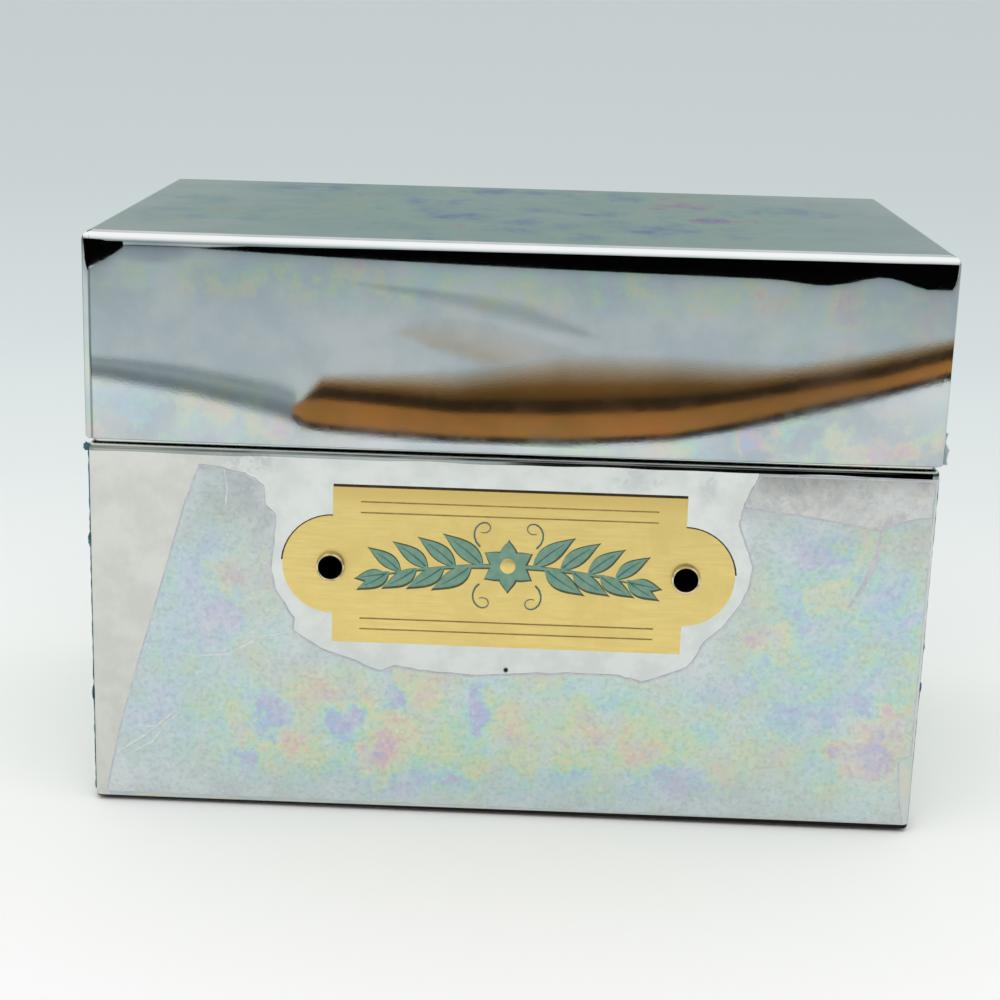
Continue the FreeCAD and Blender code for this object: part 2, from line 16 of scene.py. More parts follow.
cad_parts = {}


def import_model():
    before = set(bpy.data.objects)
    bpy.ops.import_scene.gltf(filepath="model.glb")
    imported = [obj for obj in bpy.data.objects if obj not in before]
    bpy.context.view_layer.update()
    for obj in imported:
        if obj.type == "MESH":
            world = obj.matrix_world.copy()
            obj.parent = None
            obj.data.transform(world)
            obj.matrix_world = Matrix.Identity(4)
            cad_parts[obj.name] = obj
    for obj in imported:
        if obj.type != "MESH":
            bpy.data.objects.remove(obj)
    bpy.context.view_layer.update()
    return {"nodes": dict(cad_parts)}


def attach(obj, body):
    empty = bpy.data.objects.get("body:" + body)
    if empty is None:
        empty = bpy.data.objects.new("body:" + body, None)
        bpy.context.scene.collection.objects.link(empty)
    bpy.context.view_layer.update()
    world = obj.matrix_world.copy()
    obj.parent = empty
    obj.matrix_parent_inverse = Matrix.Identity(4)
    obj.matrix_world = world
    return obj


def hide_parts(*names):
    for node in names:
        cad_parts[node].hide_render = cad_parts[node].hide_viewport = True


LOG = logging.getLogger("recipe_box")

MM = 0.001
# Points closer than this many millimetres are one.
WELD = 1e-4

Colour = tuple[float, float, float, float]
Spot = tuple[float, float]

PAINT = "paint"

# Without a seed, the noise that wanders along torn edges starts from the time of day.
TEAR_SEED = 7

# Settings of a node that blends two colours, and of one that fades softly between two limits.
BLEND = {"data_type": "RGBA", "output": "Result"}
SOFT = {"interpolation_type": "SMOOTHSTEP"}


class Body(Enum):
    """The bodies that a piece can ride on."""

    BASE = "base"
    LID = "lid"


class Slot(Enum):
    """The record's material slots."""

    STEEL = "plated_steel"
    GOLD = "gold_anodised"
    EYELET = "eyelet_brass"
    FILM = "protective_film"
    HINGE = "hinge_steel"


def linear(hex_code: str) -> Colour:
    """Turns an sRGB hex value into a linear colour.

    Args:
        hex_code: Six hex digits, with or without a leading #.

    Returns:
        Red, green, blue and an alpha of 1.
    """
    digits = hex_code.lstrip("#")
    parts = [int(digits[i:i + 2], 16) / 255 for i in (0, 2, 4)]
    red, green, blue = (p / 12.92 if p <= 0.04045 else ((p + 0.055) / 1.055) ** 2.4 for p in parts)
    return (red, green, blue, 1.0)


def add(
    tree: bpy.types.NodeTree,
    kind: str,
    inputs: Mapping[str | int, object] | None = None,
    stops: Sequence[tuple[float, str]] = (),
    output: str | int = 0,
    **settings: object,
) -> bpy.types.NodeSocket | None:
    """Adds a node with its settings and links.

    Args:
        tree: The node tree that gets the node.
        kind: The node's type.
        inputs: For each input, an output to link, or a value or hex colour to set.
        stops: Positions and hex colours of a colour ramp.
        output: Which of the node's outputs to give back.
        **settings: The node's own properties.

    Returns:
        That output, or nothing for a node without outputs.
    """
    node = tree.nodes.new(kind)
    for name, value in settings.items():
        setattr(node, name, value)
    for index, (position, hex_code) in enumerate(stops):
        band = node.color_ramp.elements
        stop = band[index] if index < len(band) else band.new(position)
        stop.position = position
        stop.color = linear(hex_code)
    for socket, value in (inputs or {}).items():
        if isinstance(value, bpy.types.NodeSocket):
            tree.links.new(value, node.inputs[socket])
        else:
            node.inputs[socket].default_value = linear(value) if isinstance(value, str) else value
    return node.outputs[output] if node.outputs else None


@dataclass(frozen=True)
class Patch:
    """A soft-edged region, in millimetres, where a pattern shows or shifts."""

    centre: tuple[float, float, float]
    reach: tuple[float, float, float]
    amount: float = 1.0

    def mask(self, tree: bpy.types.NodeTree, place: bpy.types.NodeSocket) -> bpy.types.NodeSocket:
        """Gives amount in the region's middle, falling to 0 at its reach.

        Args:
            tree: The node tree.
            place: The coordinates in millimetres.

        Returns:
            The value.
        """
        offset = add(tree, "ShaderNodeVectorMath", {0: place, 1: self.centre}, operation="SUBTRACT")
        scaled = add(tree, "ShaderNodeVectorMath", {0: offset, 1: self.reach}, operation="DIVIDE")
        far = add(tree, "ShaderNodeVectorMath", {0: scaled}, operation="LENGTH", output="Value")
        limits = {"Value": far, "From Min": 0.45, "From Max": 1.1, "To Min": self.amount, "To Max": 0.0}
        return add(tree, "ShaderNodeMapRange", limits, **SOFT)


def combined(
    tree: bpy.types.NodeTree, place: bpy.types.NodeSocket, patches: Sequence[Patch], operation: str
) -> bpy.types.NodeSocket:
    """Joins the masks of several patches.

    Args:
        tree: The node tree.
        place: The coordinates in millimetres.
        patches: The patches, at least one.
        operation: The arithmetic operation that joins two masks.

    Returns:
        The value.
    """
    total = patches[0].mask(tree, place)
    for patch in patches[1:]:
        total = add(tree, "ShaderNodeMath", {0: total, 1: patch.mask(tree, place)}, operation=operation)
    return total


def blotches(
    tree: bpy.types.NodeTree,
    place: bpy.types.NodeSocket,
    size_mm: float,
    edge: Spot = (0.38, 0.64),
    out: Spot = (0.0, 1.0),
    detail: float = 5.0,
) -> bpy.types.NodeSocket:
    """Gives soft-edged irregular blotches.

    Args:
        tree: The node tree.
        place: The coordinates in millimetres.
        size_mm: About how wide a blotch is.
        edge: Noise values between which a blotch fades in.
        out: The values outside and inside a blotch.
        detail: Octaves of finer structure.

    Returns:
        The value.
    """
    settings = {"Vector": place, "Scale": 1 / size_mm, "Detail": detail, "Roughness": 0.62}
    cloud = add(tree, "ShaderNodeTexNoise", settings)
    limits = {"Value": cloud, "From Min": edge[0], "From Max": edge[1], "To Min": out[0], "To Max": out[1]}
    return add(tree, "ShaderNodeMapRange", limits, **SOFT)


@dataclass(frozen=True)
class Finish:
    """One real material and the shader that shows it."""

    name: str = "finish"

    def shade(self, tree: bpy.types.NodeTree, place: bpy.types.NodeSocket) -> dict[str, object]:
        """Gives what the shader's sockets get.

        Args:
            tree: The node tree.
            place: The coordinates in millimetres.

        Returns:
            For each socket's name, an output to link or a value.
        """
        raise NotImplementedError

    @cache
    def material(self) -> bpy.types.Material:
        """Builds the material once."""
        material = bpy.data.materials.new(self.name)
        material.use_nodes = True
        tree = material.node_tree
        tree.nodes.clear()
        metres = add(tree, "ShaderNodeTexCoord", output="Object")
        place = add(tree, "ShaderNodeVectorMath", {0: metres, "Scale": 1 / MM}, operation="SCALE")
        surface = add(tree, "ShaderNodeBsdfPrincipled", self.shade(tree, place))
        add(tree, "ShaderNodeOutputMaterial", {"Surface": surface})
        return material


@dataclass(frozen=True)
class Iridescence:
    """Pastel interference colours of thin clear film on bright metal.

    The colours follow each other as the film thickens; patches say where it is thicker or thinner.
    """

    patch_mm: float = 11.0
    spread: float = 1.0
    drift: tuple[Patch, ...] = ()
    colours: tuple[tuple[float, str], ...] = (
        (0.24, "#B9B6D6"),
        (0.31, "#AEBBDC"),
        (0.38, "#A9CCDA"),
        (0.44, "#AFD8CB"),
        (0.50, "#BFD8B6"),
        (0.57, "#D4D8B3"),
        (0.63, "#DBC8B5"),
        (0.69, "#D5B8C2"),
        (0.75, "#BDB9D8"),
        (0.81, "#A9C6DC"),
    )
    speck_mm: float = 0.9
    ragged_mm: float = 18.0
    # Below 1 on an axis, the blotches are drawn out along it.
    squeeze: tuple[float, float, float] = (1.0, 1.0, 1.0)
    # How far the fine specks vary the film's thickness.
    grain: float = 0.24

    def colour(self, tree: bpy.types.NodeTree, place: bpy.types.NodeSocket) -> bpy.types.NodeSocket:
        """Gives the film's colour.

        Args:
            tree: The node tree.
            place: The coordinates in millimetres.

        Returns:
            The colour.
        """
        bent = add(
            tree, "ShaderNodeTexNoise", {"Vector": place, "Scale": 0.22, "Detail": 5.0, "Roughness": 0.68},
            output="Color",
        )
        bent = add(tree, "ShaderNodeVectorMath", {0: bent, 1: (0.5, 0.5, 0.5)}, operation="SUBTRACT")
        bent = add(tree, "ShaderNodeVectorMath", {0: bent, "Scale": self.ragged_mm}, operation="SCALE")
        ragged = add(tree, "ShaderNodeVectorMath", {0: place, 1: bent}, operation="ADD")
        drawn = add(tree, "ShaderNodeVectorMath", {0: place, 1: self.squeeze}, operation="MULTIPLY")
        broad_settings = {"Vector": drawn, "Scale": 1 / self.patch_mm, "Detail": 6.0, "Roughness": 0.6}
        broad = add(tree, "ShaderNodeTexNoise", broad_settings)
        fine_settings = {"Vector": drawn, "Scale": 1 / self.speck_mm, "Detail": 3.0, "Roughness": 0.7}
        fine = add(tree, "ShaderNodeTexNoise", fine_settings)
        middle = 0.5 - 0.5 * self.spread - self.grain / 2
        wide = add(tree, "ShaderNodeMath", {0: broad, 1: self.spread, 2: middle}, operation="MULTIPLY_ADD")
        thickness = add(tree, "ShaderNodeMath", {0: fine, 1: self.grain, 2: wide}, operation="MULTIPLY_ADD")
        if self.drift:
            shift = combined(tree, ragged, self.drift, "ADD")
            thickness = add(tree, "ShaderNodeMath", {0: thickness, 1: shift}, operation="ADD")
        return add(tree, "ShaderNodeValToRGB", {"Fac": thickness}, stops=self.colours)


@dataclass(frozen=True)
class FilmedChrome(Finish):
    """Bright chrome plate on steel sheet under clear protective film.

    The plate mirrors its surroundings; the film adds a faint haze, tints and pastel blotches.
    """

    name: str = "filmed_chrome_plate"
    plate: str = "#CCD1D2"
    haze: str = "#BAC4C8"
    tint: str = "#8BAEB4"
    roughness: float = 0.028
    strength: float = 0.6
    top: float = 97.5
    crinkle: float = 0.00016
    # Patches tinted by the film; on the lid's front, one of them is painted reflection.
    tint_and_painted_reflection: tuple[Patch, ...] = ()
    shown: tuple[Patch, ...] = ()
    # Painted reflection: thin dark lines along a corner.
    painted_dark_lines: tuple[Patch, ...] = ()
    tarnish_and_painted_reflection: str = "#3A4143"
    # Painted highlight along the bends, a near-white base colour: depths below the top at which it comes and
    # goes.
    wear_and_painted_highlight: str = "#F8FAFA"
    highlight_from: Spot = (1.3, 0.8)
    highlight_to: Spot = (0.32, 0.27)
    iridescence: Iridescence = Iridescence(9.0)
    broken_mm: float = 4.5
    # The film's tint and blotches at a glancing angle, where metal alone mirrors all light untinted.
    glance: str = "#FFFFFF"
    glancing: Iridescence | None = None

    def shade(self, tree: bpy.types.NodeTree, place: bpy.types.NodeSocket) -> dict[str, object]:
        """Gives what the shader's sockets get, from the coordinates in millimetres."""
        cloudy = blotches(tree, place, 16.0)
        metal = add(tree, "ShaderNodeMix", {"Factor": cloudy, "A": self.plate, "B": self.haze}, **BLEND)
        tint_and_reflection_amount = 0.0
        if self.tint_and_painted_reflection:
            tint_and_reflection_mask = combined(tree, place, self.tint_and_painted_reflection, "MAXIMUM")
            uneven = blotches(tree, place, 13.0, (0.34, 0.6), (0.6, 1.0))
            tint_and_reflection_amount = add(tree, "ShaderNodeMath", {0: tint_and_reflection_mask, 1: uneven}, operation="MULTIPLY")
            metal = add(tree, "ShaderNodeMix", {"Factor": tint_and_reflection_amount, "A": metal, "B": self.tint}, **BLEND)
        zone = combined(tree, place, self.shown, "MAXIMUM")
        broken = blotches(tree, place, self.broken_mm, (0.4, 0.58), (0.0, self.strength))
        amount = add(tree, "ShaderNodeMath", {0: zone, 1: broken}, operation="MULTIPLY")
        colour = add(
            tree, "ShaderNodeMix", {"Factor": amount, "A": metal, "B": self.iridescence.colour(tree, place)},
            **BLEND,
        )
        # Painted highlight: a near-white base colour along the bend just under the top.
        height = add(tree, "ShaderNodeSeparateXYZ", {0: place}, output="Z")
        low, high = (self.top - depth for depth in self.highlight_from)
        under = add(tree, "ShaderNodeMapRange", {"Value": height, "From Min": low, "From Max": high})
        low, high = (self.top - depth for depth in self.highlight_to)
        limits = {"Value": height, "From Min": low, "From Max": high, "To Min": 1.0, "To Max": 0.0}
        over = add(tree, "ShaderNodeMapRange", limits)
        wear_and_painted_highlight = add(tree, "ShaderNodeMath", {0: under, 1: over}, operation="MULTIPLY")
        colour = add(tree, "ShaderNodeMix", {"Factor": wear_and_painted_highlight, "A": colour, "B": self.wear_and_painted_highlight}, **BLEND)
        # Painted reflection: dark lines down the lid's left corner.
        if self.painted_dark_lines:
            dark = combined(tree, place, self.painted_dark_lines, "MAXIMUM")
            colour = add(tree, "ShaderNodeMix", {"Factor": dark, "A": colour, "B": self.tarnish_and_painted_reflection}, **BLEND)
        rough = blotches(tree, place, 6.0, (0.42, 0.68), (self.roughness, self.roughness + 0.015))
        crinkled = blotches(tree, place, 0.35, (0.3, 0.7), detail=2.0)
        bumps = {"Height": crinkled, "Strength": 1.0, "Distance": self.crinkle * MM}
        normal = add(tree, "ShaderNodeBump", bumps)
        made = {"Base Color": colour, "Metallic": 1.0, "Roughness": rough, "Normal": normal}
        if self.glancing:
            edge = add(tree, "ShaderNodeMix", {"Factor": tint_and_reflection_amount, "A": "#FFFFFF", "B": self.glance}, **BLEND)
            made["Specular Tint"] = add(
                tree, "ShaderNodeMix", {"Factor": amount, "A": edge, "B": self.glancing.colour(tree, place)},
                **BLEND,
            )
        return made


@dataclass(frozen=True)
class BodyChrome(FilmedChrome):
    """The body's chrome sheet: bare on the front where the film is off, filmed on the other sides.

    Bare plate is a clean cool mirror round the nameplate and has a beige bloom on the left strip.
    The inner side of the sheet is unpolished tinned steel.
    """

    name: str = "body_chrome_sheet"
    bare: str = "#D9DEDA"
    smudge: str = "#CFD5D1"
    bloom: str = "#D4D6CF"
    bloom_dark: str = "#C9CCC5"
    inner: str = "#C2C5C5"
    # A dark colour: painted shade on the lowest bend, where the wall turns in under the box, and the dirt in a
    # small pit in the plate.
    grime_and_painted_shade: str = "#232120"
    half_y: float = 44.05
    bare_roughness: float = 0.09
    # Patches of glue left on the bare plate.
    glue: str = "#BEC5C4"
    residue: tuple[Patch, ...] = (
        Patch((-44.5, -44.0, 60.6), (8.5, 6.0, 2.6)),
        Patch((21.0, -44.0, 59.8), (5.5, 6.0, 2.4), 0.8),
        Patch((32.2, -44.0, 59.0), (2.0, 6.0, 3.6), 0.8),
        Patch((37.0, -44.0, 52.0), (3.0, 6.0, 6.0), 0.3),
    )
    # Painted reflection: a dark line on the wall just under the shoulder.
    painted_shoulder_reflection: str = "#1E2021"
    # A small dark pit in the plate.
    pits: tuple[Patch, ...] = (Patch((0.4, -44.1, 26.3), (0.5, 2.0, 0.55)),)
    # How far the wall leans back over its last 0.7 mm under the shoulder.
    lean: float = 0.17
    inner_roughness: float = 0.42
    inner_metallic: float = 0.6

    def shade(self, tree: bpy.types.NodeTree, place: bpy.types.NodeSocket) -> dict[str, object]:
        """Gives what the shader's sockets get, from the coordinates in millimetres."""
        filmed = super().shade(tree, place)
        x = add(tree, "ShaderNodeSeparateXYZ", {0: place}, output="X")
        y = add(tree, "ShaderNodeSeparateXYZ", {0: place}, output="Y")
        z = add(tree, "ShaderNodeSeparateXYZ", {0: place}, output="Z")
        facing = add(tree, "ShaderNodeNewGeometry", output="Normal")
        upward = add(tree, "ShaderNodeSeparateXYZ", {0: facing}, output="Z")
        level_place = add(tree, "ShaderNodeVectorMath", {0: place, 1: (1.0, 1.0, 0.0)}, operation="MULTIPLY")
        outward = add(
            tree, "ShaderNodeVectorMath", {0: level_place, 1: facing}, operation="DOT_PRODUCT", output="Value"
        )
        # Each mask's value, and where it is 0 and 1.
        limits = {
            "strip": (x, -44.0, -50.0),
            "front": (y, -self.half_y + 0.9, -self.half_y + 0.5),
            "left_of_film": (x, 44.0, 43.6),
            "above_foot": (z, 2.0, 2.2),
            "in_strip": (x, -66.8, -67.2),
            "inside": (outward, -1.0, -5.0),
            "across": (x, -75.0, 60.0),
            "over_wall": (z, 61.85, 62.1),
            "under_round": (z, 62.6, 62.4),
            "not_upward": (upward, 0.6, 0.4),
        }
        masks = {
            name: add(tree, "ShaderNodeMapRange", {"Value": value, "From Min": low, "From Max": high}, **SOFT)
            for name, (value, low, high) in limits.items()
        }
        smudged = add(
            tree, "ShaderNodeMix", {"Factor": blotches(tree, place, 5.0), "A": self.bare, "B": self.smudge},
            **BLEND,
        )
        bloomed = add(
            tree, "ShaderNodeMix",
            {"Factor": blotches(tree, place, 7.0), "A": self.bloom, "B": self.bloom_dark},
            **BLEND,
        )
        residue = combined(tree, place, self.residue, "MAXIMUM")
        lace = blotches(tree, place, 1.6, (0.4, 0.56), (0.25, 1.0))
        residue = add(tree, "ShaderNodeMath", {0: residue, 1: lace}, operation="MULTIPLY")
        smudged = add(tree, "ShaderNodeMix", {"Factor": residue, "A": smudged, "B": self.glue}, **BLEND)
        smudged = add(
            tree, "ShaderNodeMix",
            {"Factor": combined(tree, place, self.pits, "MAXIMUM"), "A": smudged, "B": self.grime_and_painted_shade},
            **BLEND,
        )
        bare = add(tree, "ShaderNodeMix", {"Factor": masks["strip"], "A": smudged, "B": bloomed}, **BLEND)
        clear = add(tree, "ShaderNodeMath", {0: masks["above_foot"], 1: masks["in_strip"]}, operation="MAXIMUM")
        for name in ("left_of_film", "front"):
            clear = add(tree, "ShaderNodeMath", {0: clear, 1: masks[name]}, operation="MULTIPLY")
        outer = add(tree, "ShaderNodeMix", {"Factor": clear, "A": filmed["Base Color"], "B": bare}, **BLEND)
        rough = {"Factor": clear, "A": filmed["Roughness"], "B": self.bare_roughness}
        rough = add(tree, "ShaderNodeMix", rough)
        inside = masks["inside"]
        colour = add(tree, "ShaderNodeMix", {"Factor": inside, "A": outer, "B": self.inner}, **BLEND)
        rough = add(tree, "ShaderNodeMix", {"Factor": inside, "A": rough, "B": self.inner_roughness})
        metallic = add(tree, "ShaderNodeMix", {"Factor": inside, "A": 1.0, "B": self.inner_metallic})
        # Painted reflection: a dark line on the wall just under the shoulder, darker towards the right.
        shade = add(tree, "ShaderNodeMath", {0: masks["across"], 1: 0.35, 2: 0.5}, operation="MULTIPLY_ADD")
        for name in ("over_wall", "under_round"):
            shade = add(tree, "ShaderNodeMath", {0: shade, 1: masks[name]}, operation="MULTIPLY")
        colour = add(tree, "ShaderNodeMix", {"Factor": shade, "A": colour, "B": self.painted_shoulder_reflection}, **BLEND)
        # Painted shade: the lowest bend is darkened up to a line that rises towards the right, except where it
        # faces up.
        risen = add(tree, "ShaderNodeMath", {0: masks["across"], 1: -0.45, 2: z}, operation="MULTIPLY_ADD")
        painted_foot_shade = add(tree, "ShaderNodeMapRange", {"Value": risen, "From Min": 1.0, "From Max": 0.9}, **SOFT)
        painted_foot_shade = add(tree, "ShaderNodeMath", {0: painted_foot_shade, 1: masks["not_upward"]}, operation="MULTIPLY")
        colour = add(tree, "ShaderNodeMix", {"Factor": painted_foot_shade, "A": colour, "B": self.grime_and_painted_shade}, **BLEND)
        wave = blotches(tree, place, 18.0, (0.3, 0.7), (-0.15, 0.15), 1.0)
        level = add(tree, "ShaderNodeMath", {0: z, 1: wave}, operation="ADD")
        limits = {"Value": level, "From Min": 61.55, "From Max": 62.25, "To Min": 1.0, "To Max": 0.0}
        leaning = add(tree, "ShaderNodeMapRange", limits)
        normal = add(
            tree, "ShaderNodeBump", {"Height": leaning, "Strength": 1.0, "Distance": self.lean * MM}
        )
        return {"Base Color": colour, "Metallic": metallic, "Roughness": rough, "Normal": normal}


@dataclass(frozen=True)
class TinnedInside(Finish):
    """The unpolished inner side of the steel sheet: satin grey with soft drawing streaks."""

    name: str = "satin_tinned_steel"
    plate: str = "#C6C9C9"
    streak: str = "#B3B7B8"
    roughness: float = 0.4
    metallic: float = 0.6

    def shade(self, tree: bpy.types.NodeTree, place: bpy.types.NodeSocket) -> dict[str, object]:
        """Gives what the shader's sockets get, from the coordinates in millimetres."""
        drawn = add(tree, "ShaderNodeVectorMath", {0: place, 1: (0.15, 0.15, 1.0)}, operation="MULTIPLY")
        streaks = blotches(tree, drawn, 1.2)
        colour = add(tree, "ShaderNodeMix", {"Factor": streaks, "A": self.plate, "B": self.streak}, **BLEND)
        rough = blotches(tree, drawn, 1.2, out=(self.roughness, self.roughness + 0.08))
        return {"Base Color": colour, "Metallic": self.metallic, "Roughness": rough}


@dataclass(frozen=True)
class BottomSteel(TinnedInside):
    """The bottom's steel: satin inside the box, and black low down as painted shade under the box."""

    name: str = "satin_steel_bottom_painted_shade"
    painted_underside_shade: str = "#161514"
    painted_shade_below: float = 0.44

    def shade(self, tree: bpy.types.NodeTree, place: bpy.types.NodeSocket) -> dict[str, object]:
        """Gives what the shader's sockets get, from the coordinates in millimetres."""
        satin = super().shade(tree, place)
        # Painted shade: below this height the steel is black.
        height = add(tree, "ShaderNodeSeparateXYZ", {0: place}, output="Z")
        below = add(tree, "ShaderNodeMath", {0: height, 1: self.painted_shade_below}, operation="LESS_THAN")
        colour = add(
            tree, "ShaderNodeMix", {"Factor": below, "A": satin["Base Color"], "B": self.painted_underside_shade},
            **BLEND,
        )
        return satin | {"Base Color": colour}


@dataclass(frozen=True)
class ClearFilm(Finish):
    """Clear protective film lying on chrome: what is seen is the plate through it.

    Film and plate read as one, so it is drawn as a hazy metallic skin with pastel interference
    blotches, smudges and shallow wrinkles.
    """

    name: str = "clear_film_on_chrome"
    skin: str = "#CFD7D8"
    cloud: str = "#BFC9CD"
    roughness: float = 0.17
    strength: float = 0.9
    shown: tuple[Patch, ...] = ()
    iridescence: Iridescence = Iridescence()
    dark_speck: str = "#959DA3"
    bright_speck: str = "#E6E6DF"

    def shade(self, tree: bpy.types.NodeTree, place: bpy.types.NodeSocket) -> dict[str, object]:
        """Gives what the shader's sockets get, from the coordinates in millimetres."""
        cloudy = blotches(tree, place, 9.0)
        skin = add(tree, "ShaderNodeMix", {"Factor": cloudy, "A": self.skin, "B": self.cloud}, **BLEND)
        amount = blotches(tree, place, 5.0, (0.36, 0.56), (0.35 * self.strength, self.strength))
        if self.shown:
            zone = combined(tree, place, self.shown, "MAXIMUM")
            amount = add(tree, "ShaderNodeMath", {0: zone, 1: amount}, operation="MULTIPLY")
        colour = add(
            tree, "ShaderNodeMix", {"Factor": amount, "A": skin, "B": self.iridescence.colour(tree, place)},
            **BLEND,
        )
        specks = blotches(tree, place, 0.8, (0.47, 0.66), (0.0, 0.26), 3.0)
        colour = add(tree, "ShaderNodeMix", {"Factor": specks, "A": colour, "B": self.dark_speck}, **BLEND)
        bright = blotches(tree, place, 1.3, (0.52, 0.68), (0.0, 0.3), 4.0)
        colour = add(tree, "ShaderNodeMix", {"Factor": bright, "A": colour, "B": self.bright_speck}, **BLEND)
        rough = blotches(tree, place, 4.0, (0.35, 0.7), (self.roughness, self.roughness + 0.1))
        wrinkles = blotches(tree, place, 3.0, (0.3, 0.7))
        normal = add(tree, "ShaderNodeBump", {"Height": wrinkles, "Strength": 0.3, "Distance": 0.02 * MM})
        return {"Base Color": colour, "Metallic": 0.5, "Roughness": rough, "Normal": normal}


@dataclass(frozen=True)
class GoldPlate(Finish):
    """Gold-anodised aluminium, rolled and very lightly brushed along the plate.

    The dye gives a pale straw gold, the brushing a satin sheen and the sheared edge a darker tone.
    """

    name: str = "gold_anodised_aluminium"
    gold: str = "#F4DD8E"
    shade_tone: str = "#E6CC7D"
    edge: str = "#B9A883"
    roughness: float = 0.34
    top: float = 57.0

    def shade(self, tree: bpy.types.NodeTree, place: bpy.types.NodeSocket) -> dict[str, object]:
        """Gives what the shader's sockets get, from the coordinates in millimetres."""
        drawn = add(tree, "ShaderNodeVectorMath", {0: place, 1: (0.08, 1.0, 1.0)}, operation="MULTIPLY")
        brushed = blotches(tree, drawn, 0.4, (0.3, 0.7), (0.0, 0.5), 3.0)
        wear_and_painted_highlight = blotches(tree, place, 7.0, (0.4, 0.66), (0.0, 0.6))
        both = add(tree, "ShaderNodeMath", {0: brushed, 1: wear_and_painted_highlight}, operation="MAXIMUM")
        # Painted shade: the plate darkens over its top 5 mm, towards its top edge.
        height = add(tree, "ShaderNodeSeparateXYZ", {0: place}, output="Z")
        limits = {"Value": height, "From Min": self.top - 5.0, "From Max": self.top}
        upper = add(tree, "ShaderNodeMapRange", limits, **SOFT)
        both = add(tree, "ShaderNodeMath", {0: both, 1: upper}, operation="MAXIMUM")
        face = add(tree, "ShaderNodeMix", {"Factor": both, "A": self.gold, "B": self.shade_tone}, **BLEND)
        facing = add(tree, "ShaderNodeNewGeometry", output="Normal")
        facing = add(tree, "ShaderNodeSeparateXYZ", {0: facing}, output="Y")
        rim = add(tree, "ShaderNodeMapRange", {"Value": facing, "From Min": -0.9, "From Max": -0.5})
        colour = add(tree, "ShaderNodeMix", {"Factor": rim, "A": face, "B": self.edge}, **BLEND)
        rough = blotches(tree, drawn, 0.4, (0.3, 0.7), (self.roughness, self.roughness + 0.08), 3.0)
        normal = add(tree, "ShaderNodeBump", {"Height": brushed, "Strength": 0.12, "Distance": 0.01 * MM})
        return {"Base Color": colour, "Metallic": 0.85, "Roughness": rough, "Normal": normal}


@dataclass(frozen=True)
class Metalwork(Finish):
    """Small turned or stamped metal parts: one metal, slightly tarnished in blotches."""

    metal: str = "#C2C3C2"
    tarnish_and_painted_reflection: str = "#9C9E9E"
    roughness: float = 0.24

    def shade(self, tree: bpy.types.NodeTree, place: bpy.types.NodeSocket) -> dict[str, object]:
        """Gives what the shader's sockets get, from the coordinates in millimetres."""
        dull = blotches(tree, place, 1.6, (0.4, 0.7))
        colour = add(tree, "ShaderNodeMix", {"Factor": dull, "A": self.metal, "B": self.tarnish_and_painted_reflection}, **BLEND)
        rough = blotches(tree, place, 1.6, (0.4, 0.7), (self.roughness, self.roughness + 0.15))
        return {"Base Color": colour, "Metallic": 1.0, "Roughness": rough}


@dataclass(frozen=True)
class Enamel(Finish):
    """Thin enamel paint filled into the plate: an even, slightly glossy coat that gathers unevenly."""

    paint: str = "#6B917F"
    thin: str = "#7F9F88"
    roughness: float = 0.38

    def shade(self, tree: bpy.types.NodeTree, place: bpy.types.NodeSocket) -> dict[str, object]:
        """Gives what the shader's sockets get, from the coordinates in millimetres."""
        gathered = blotches(tree, place, 1.4, (0.35, 0.7))
        colour = add(tree, "ShaderNodeMix", {"Factor": gathered, "A": self.paint, "B": self.thin}, **BLEND)
        normal = add(tree, "ShaderNodeBump", {"Height": gathered, "Strength": 0.3, "Distance": 0.02 * MM})
        return {"Base Color": colour, "Roughness": self.roughness, "Normal": normal}


@dataclass(frozen=True)
class MattCard(Finish):
    """A matt stage surface that shows the colour painted on its corners."""

    name: str = "matt_card"

    def shade(self, tree: bpy.types.NodeTree, place: bpy.types.NodeSocket) -> dict[str, object]:
        """Gives what the shader's sockets get, from the coordinates in millimetres."""
        paint = add(tree, "ShaderNodeAttribute", attribute_name=PAINT, output="Color")
        return {"Base Color": paint, "Roughness": 1.0, "Specular IOR Level": 0.0}


@dataclass(frozen=True)
class PaperSweep(Finish):
    """White background paper, with painted light and shade: brightest in front of the box and greying with
    distance.
    """

    name: str = "white_paper_sweep"
    # Distance behind the box's middle, in millimetres, and the paper's colour there.
    tones: tuple[tuple[float, str], ...] = (
        (-140.0, "#FFFFFF"),
        (-50.0, "#FFFFFD"),
        (50.0, "#F8FBF9"),
        (200.0, "#E6ECEB"),
        (450.0, "#D8E1E2"),
        (1100.0, "#D0D8D9"),
    )
    # Distances from the box between which the paper greys on all sides.
    greys_from: float = 450.0
    grey_from: float = 1500.0

    def shade(self, tree: bpy.types.NodeTree, place: bpy.types.NodeSocket) -> dict[str, object]:
        """Gives what the shader's sockets get, from the coordinates in millimetres."""
        behind = add(tree, "ShaderNodeSeparateXYZ", {0: place}, output="Y")
        near, far = self.tones[0][0], self.tones[-1][0]
        along = add(tree, "ShaderNodeMapRange", {"Value": behind, "From Min": near, "From Max": far})
        stops = [((y - near) / (far - near), colour) for y, colour in self.tones]
        colour = add(tree, "ShaderNodeValToRGB", {"Fac": along}, stops=stops)
        away = add(tree, "ShaderNodeVectorMath", {0: place}, operation="LENGTH", output="Value")
        limits = {"Value": away, "From Min": self.greys_from, "From Max": self.grey_from}
        away = add(tree, "ShaderNodeMapRange", limits, **SOFT)
        colour = add(tree, "ShaderNodeMix", {"Factor": away, "A": colour, "B": self.tones[-1][1]}, **BLEND)
        return {"Base Color": colour, "Roughness": 1.0, "Specular IOR Level": 0.0}


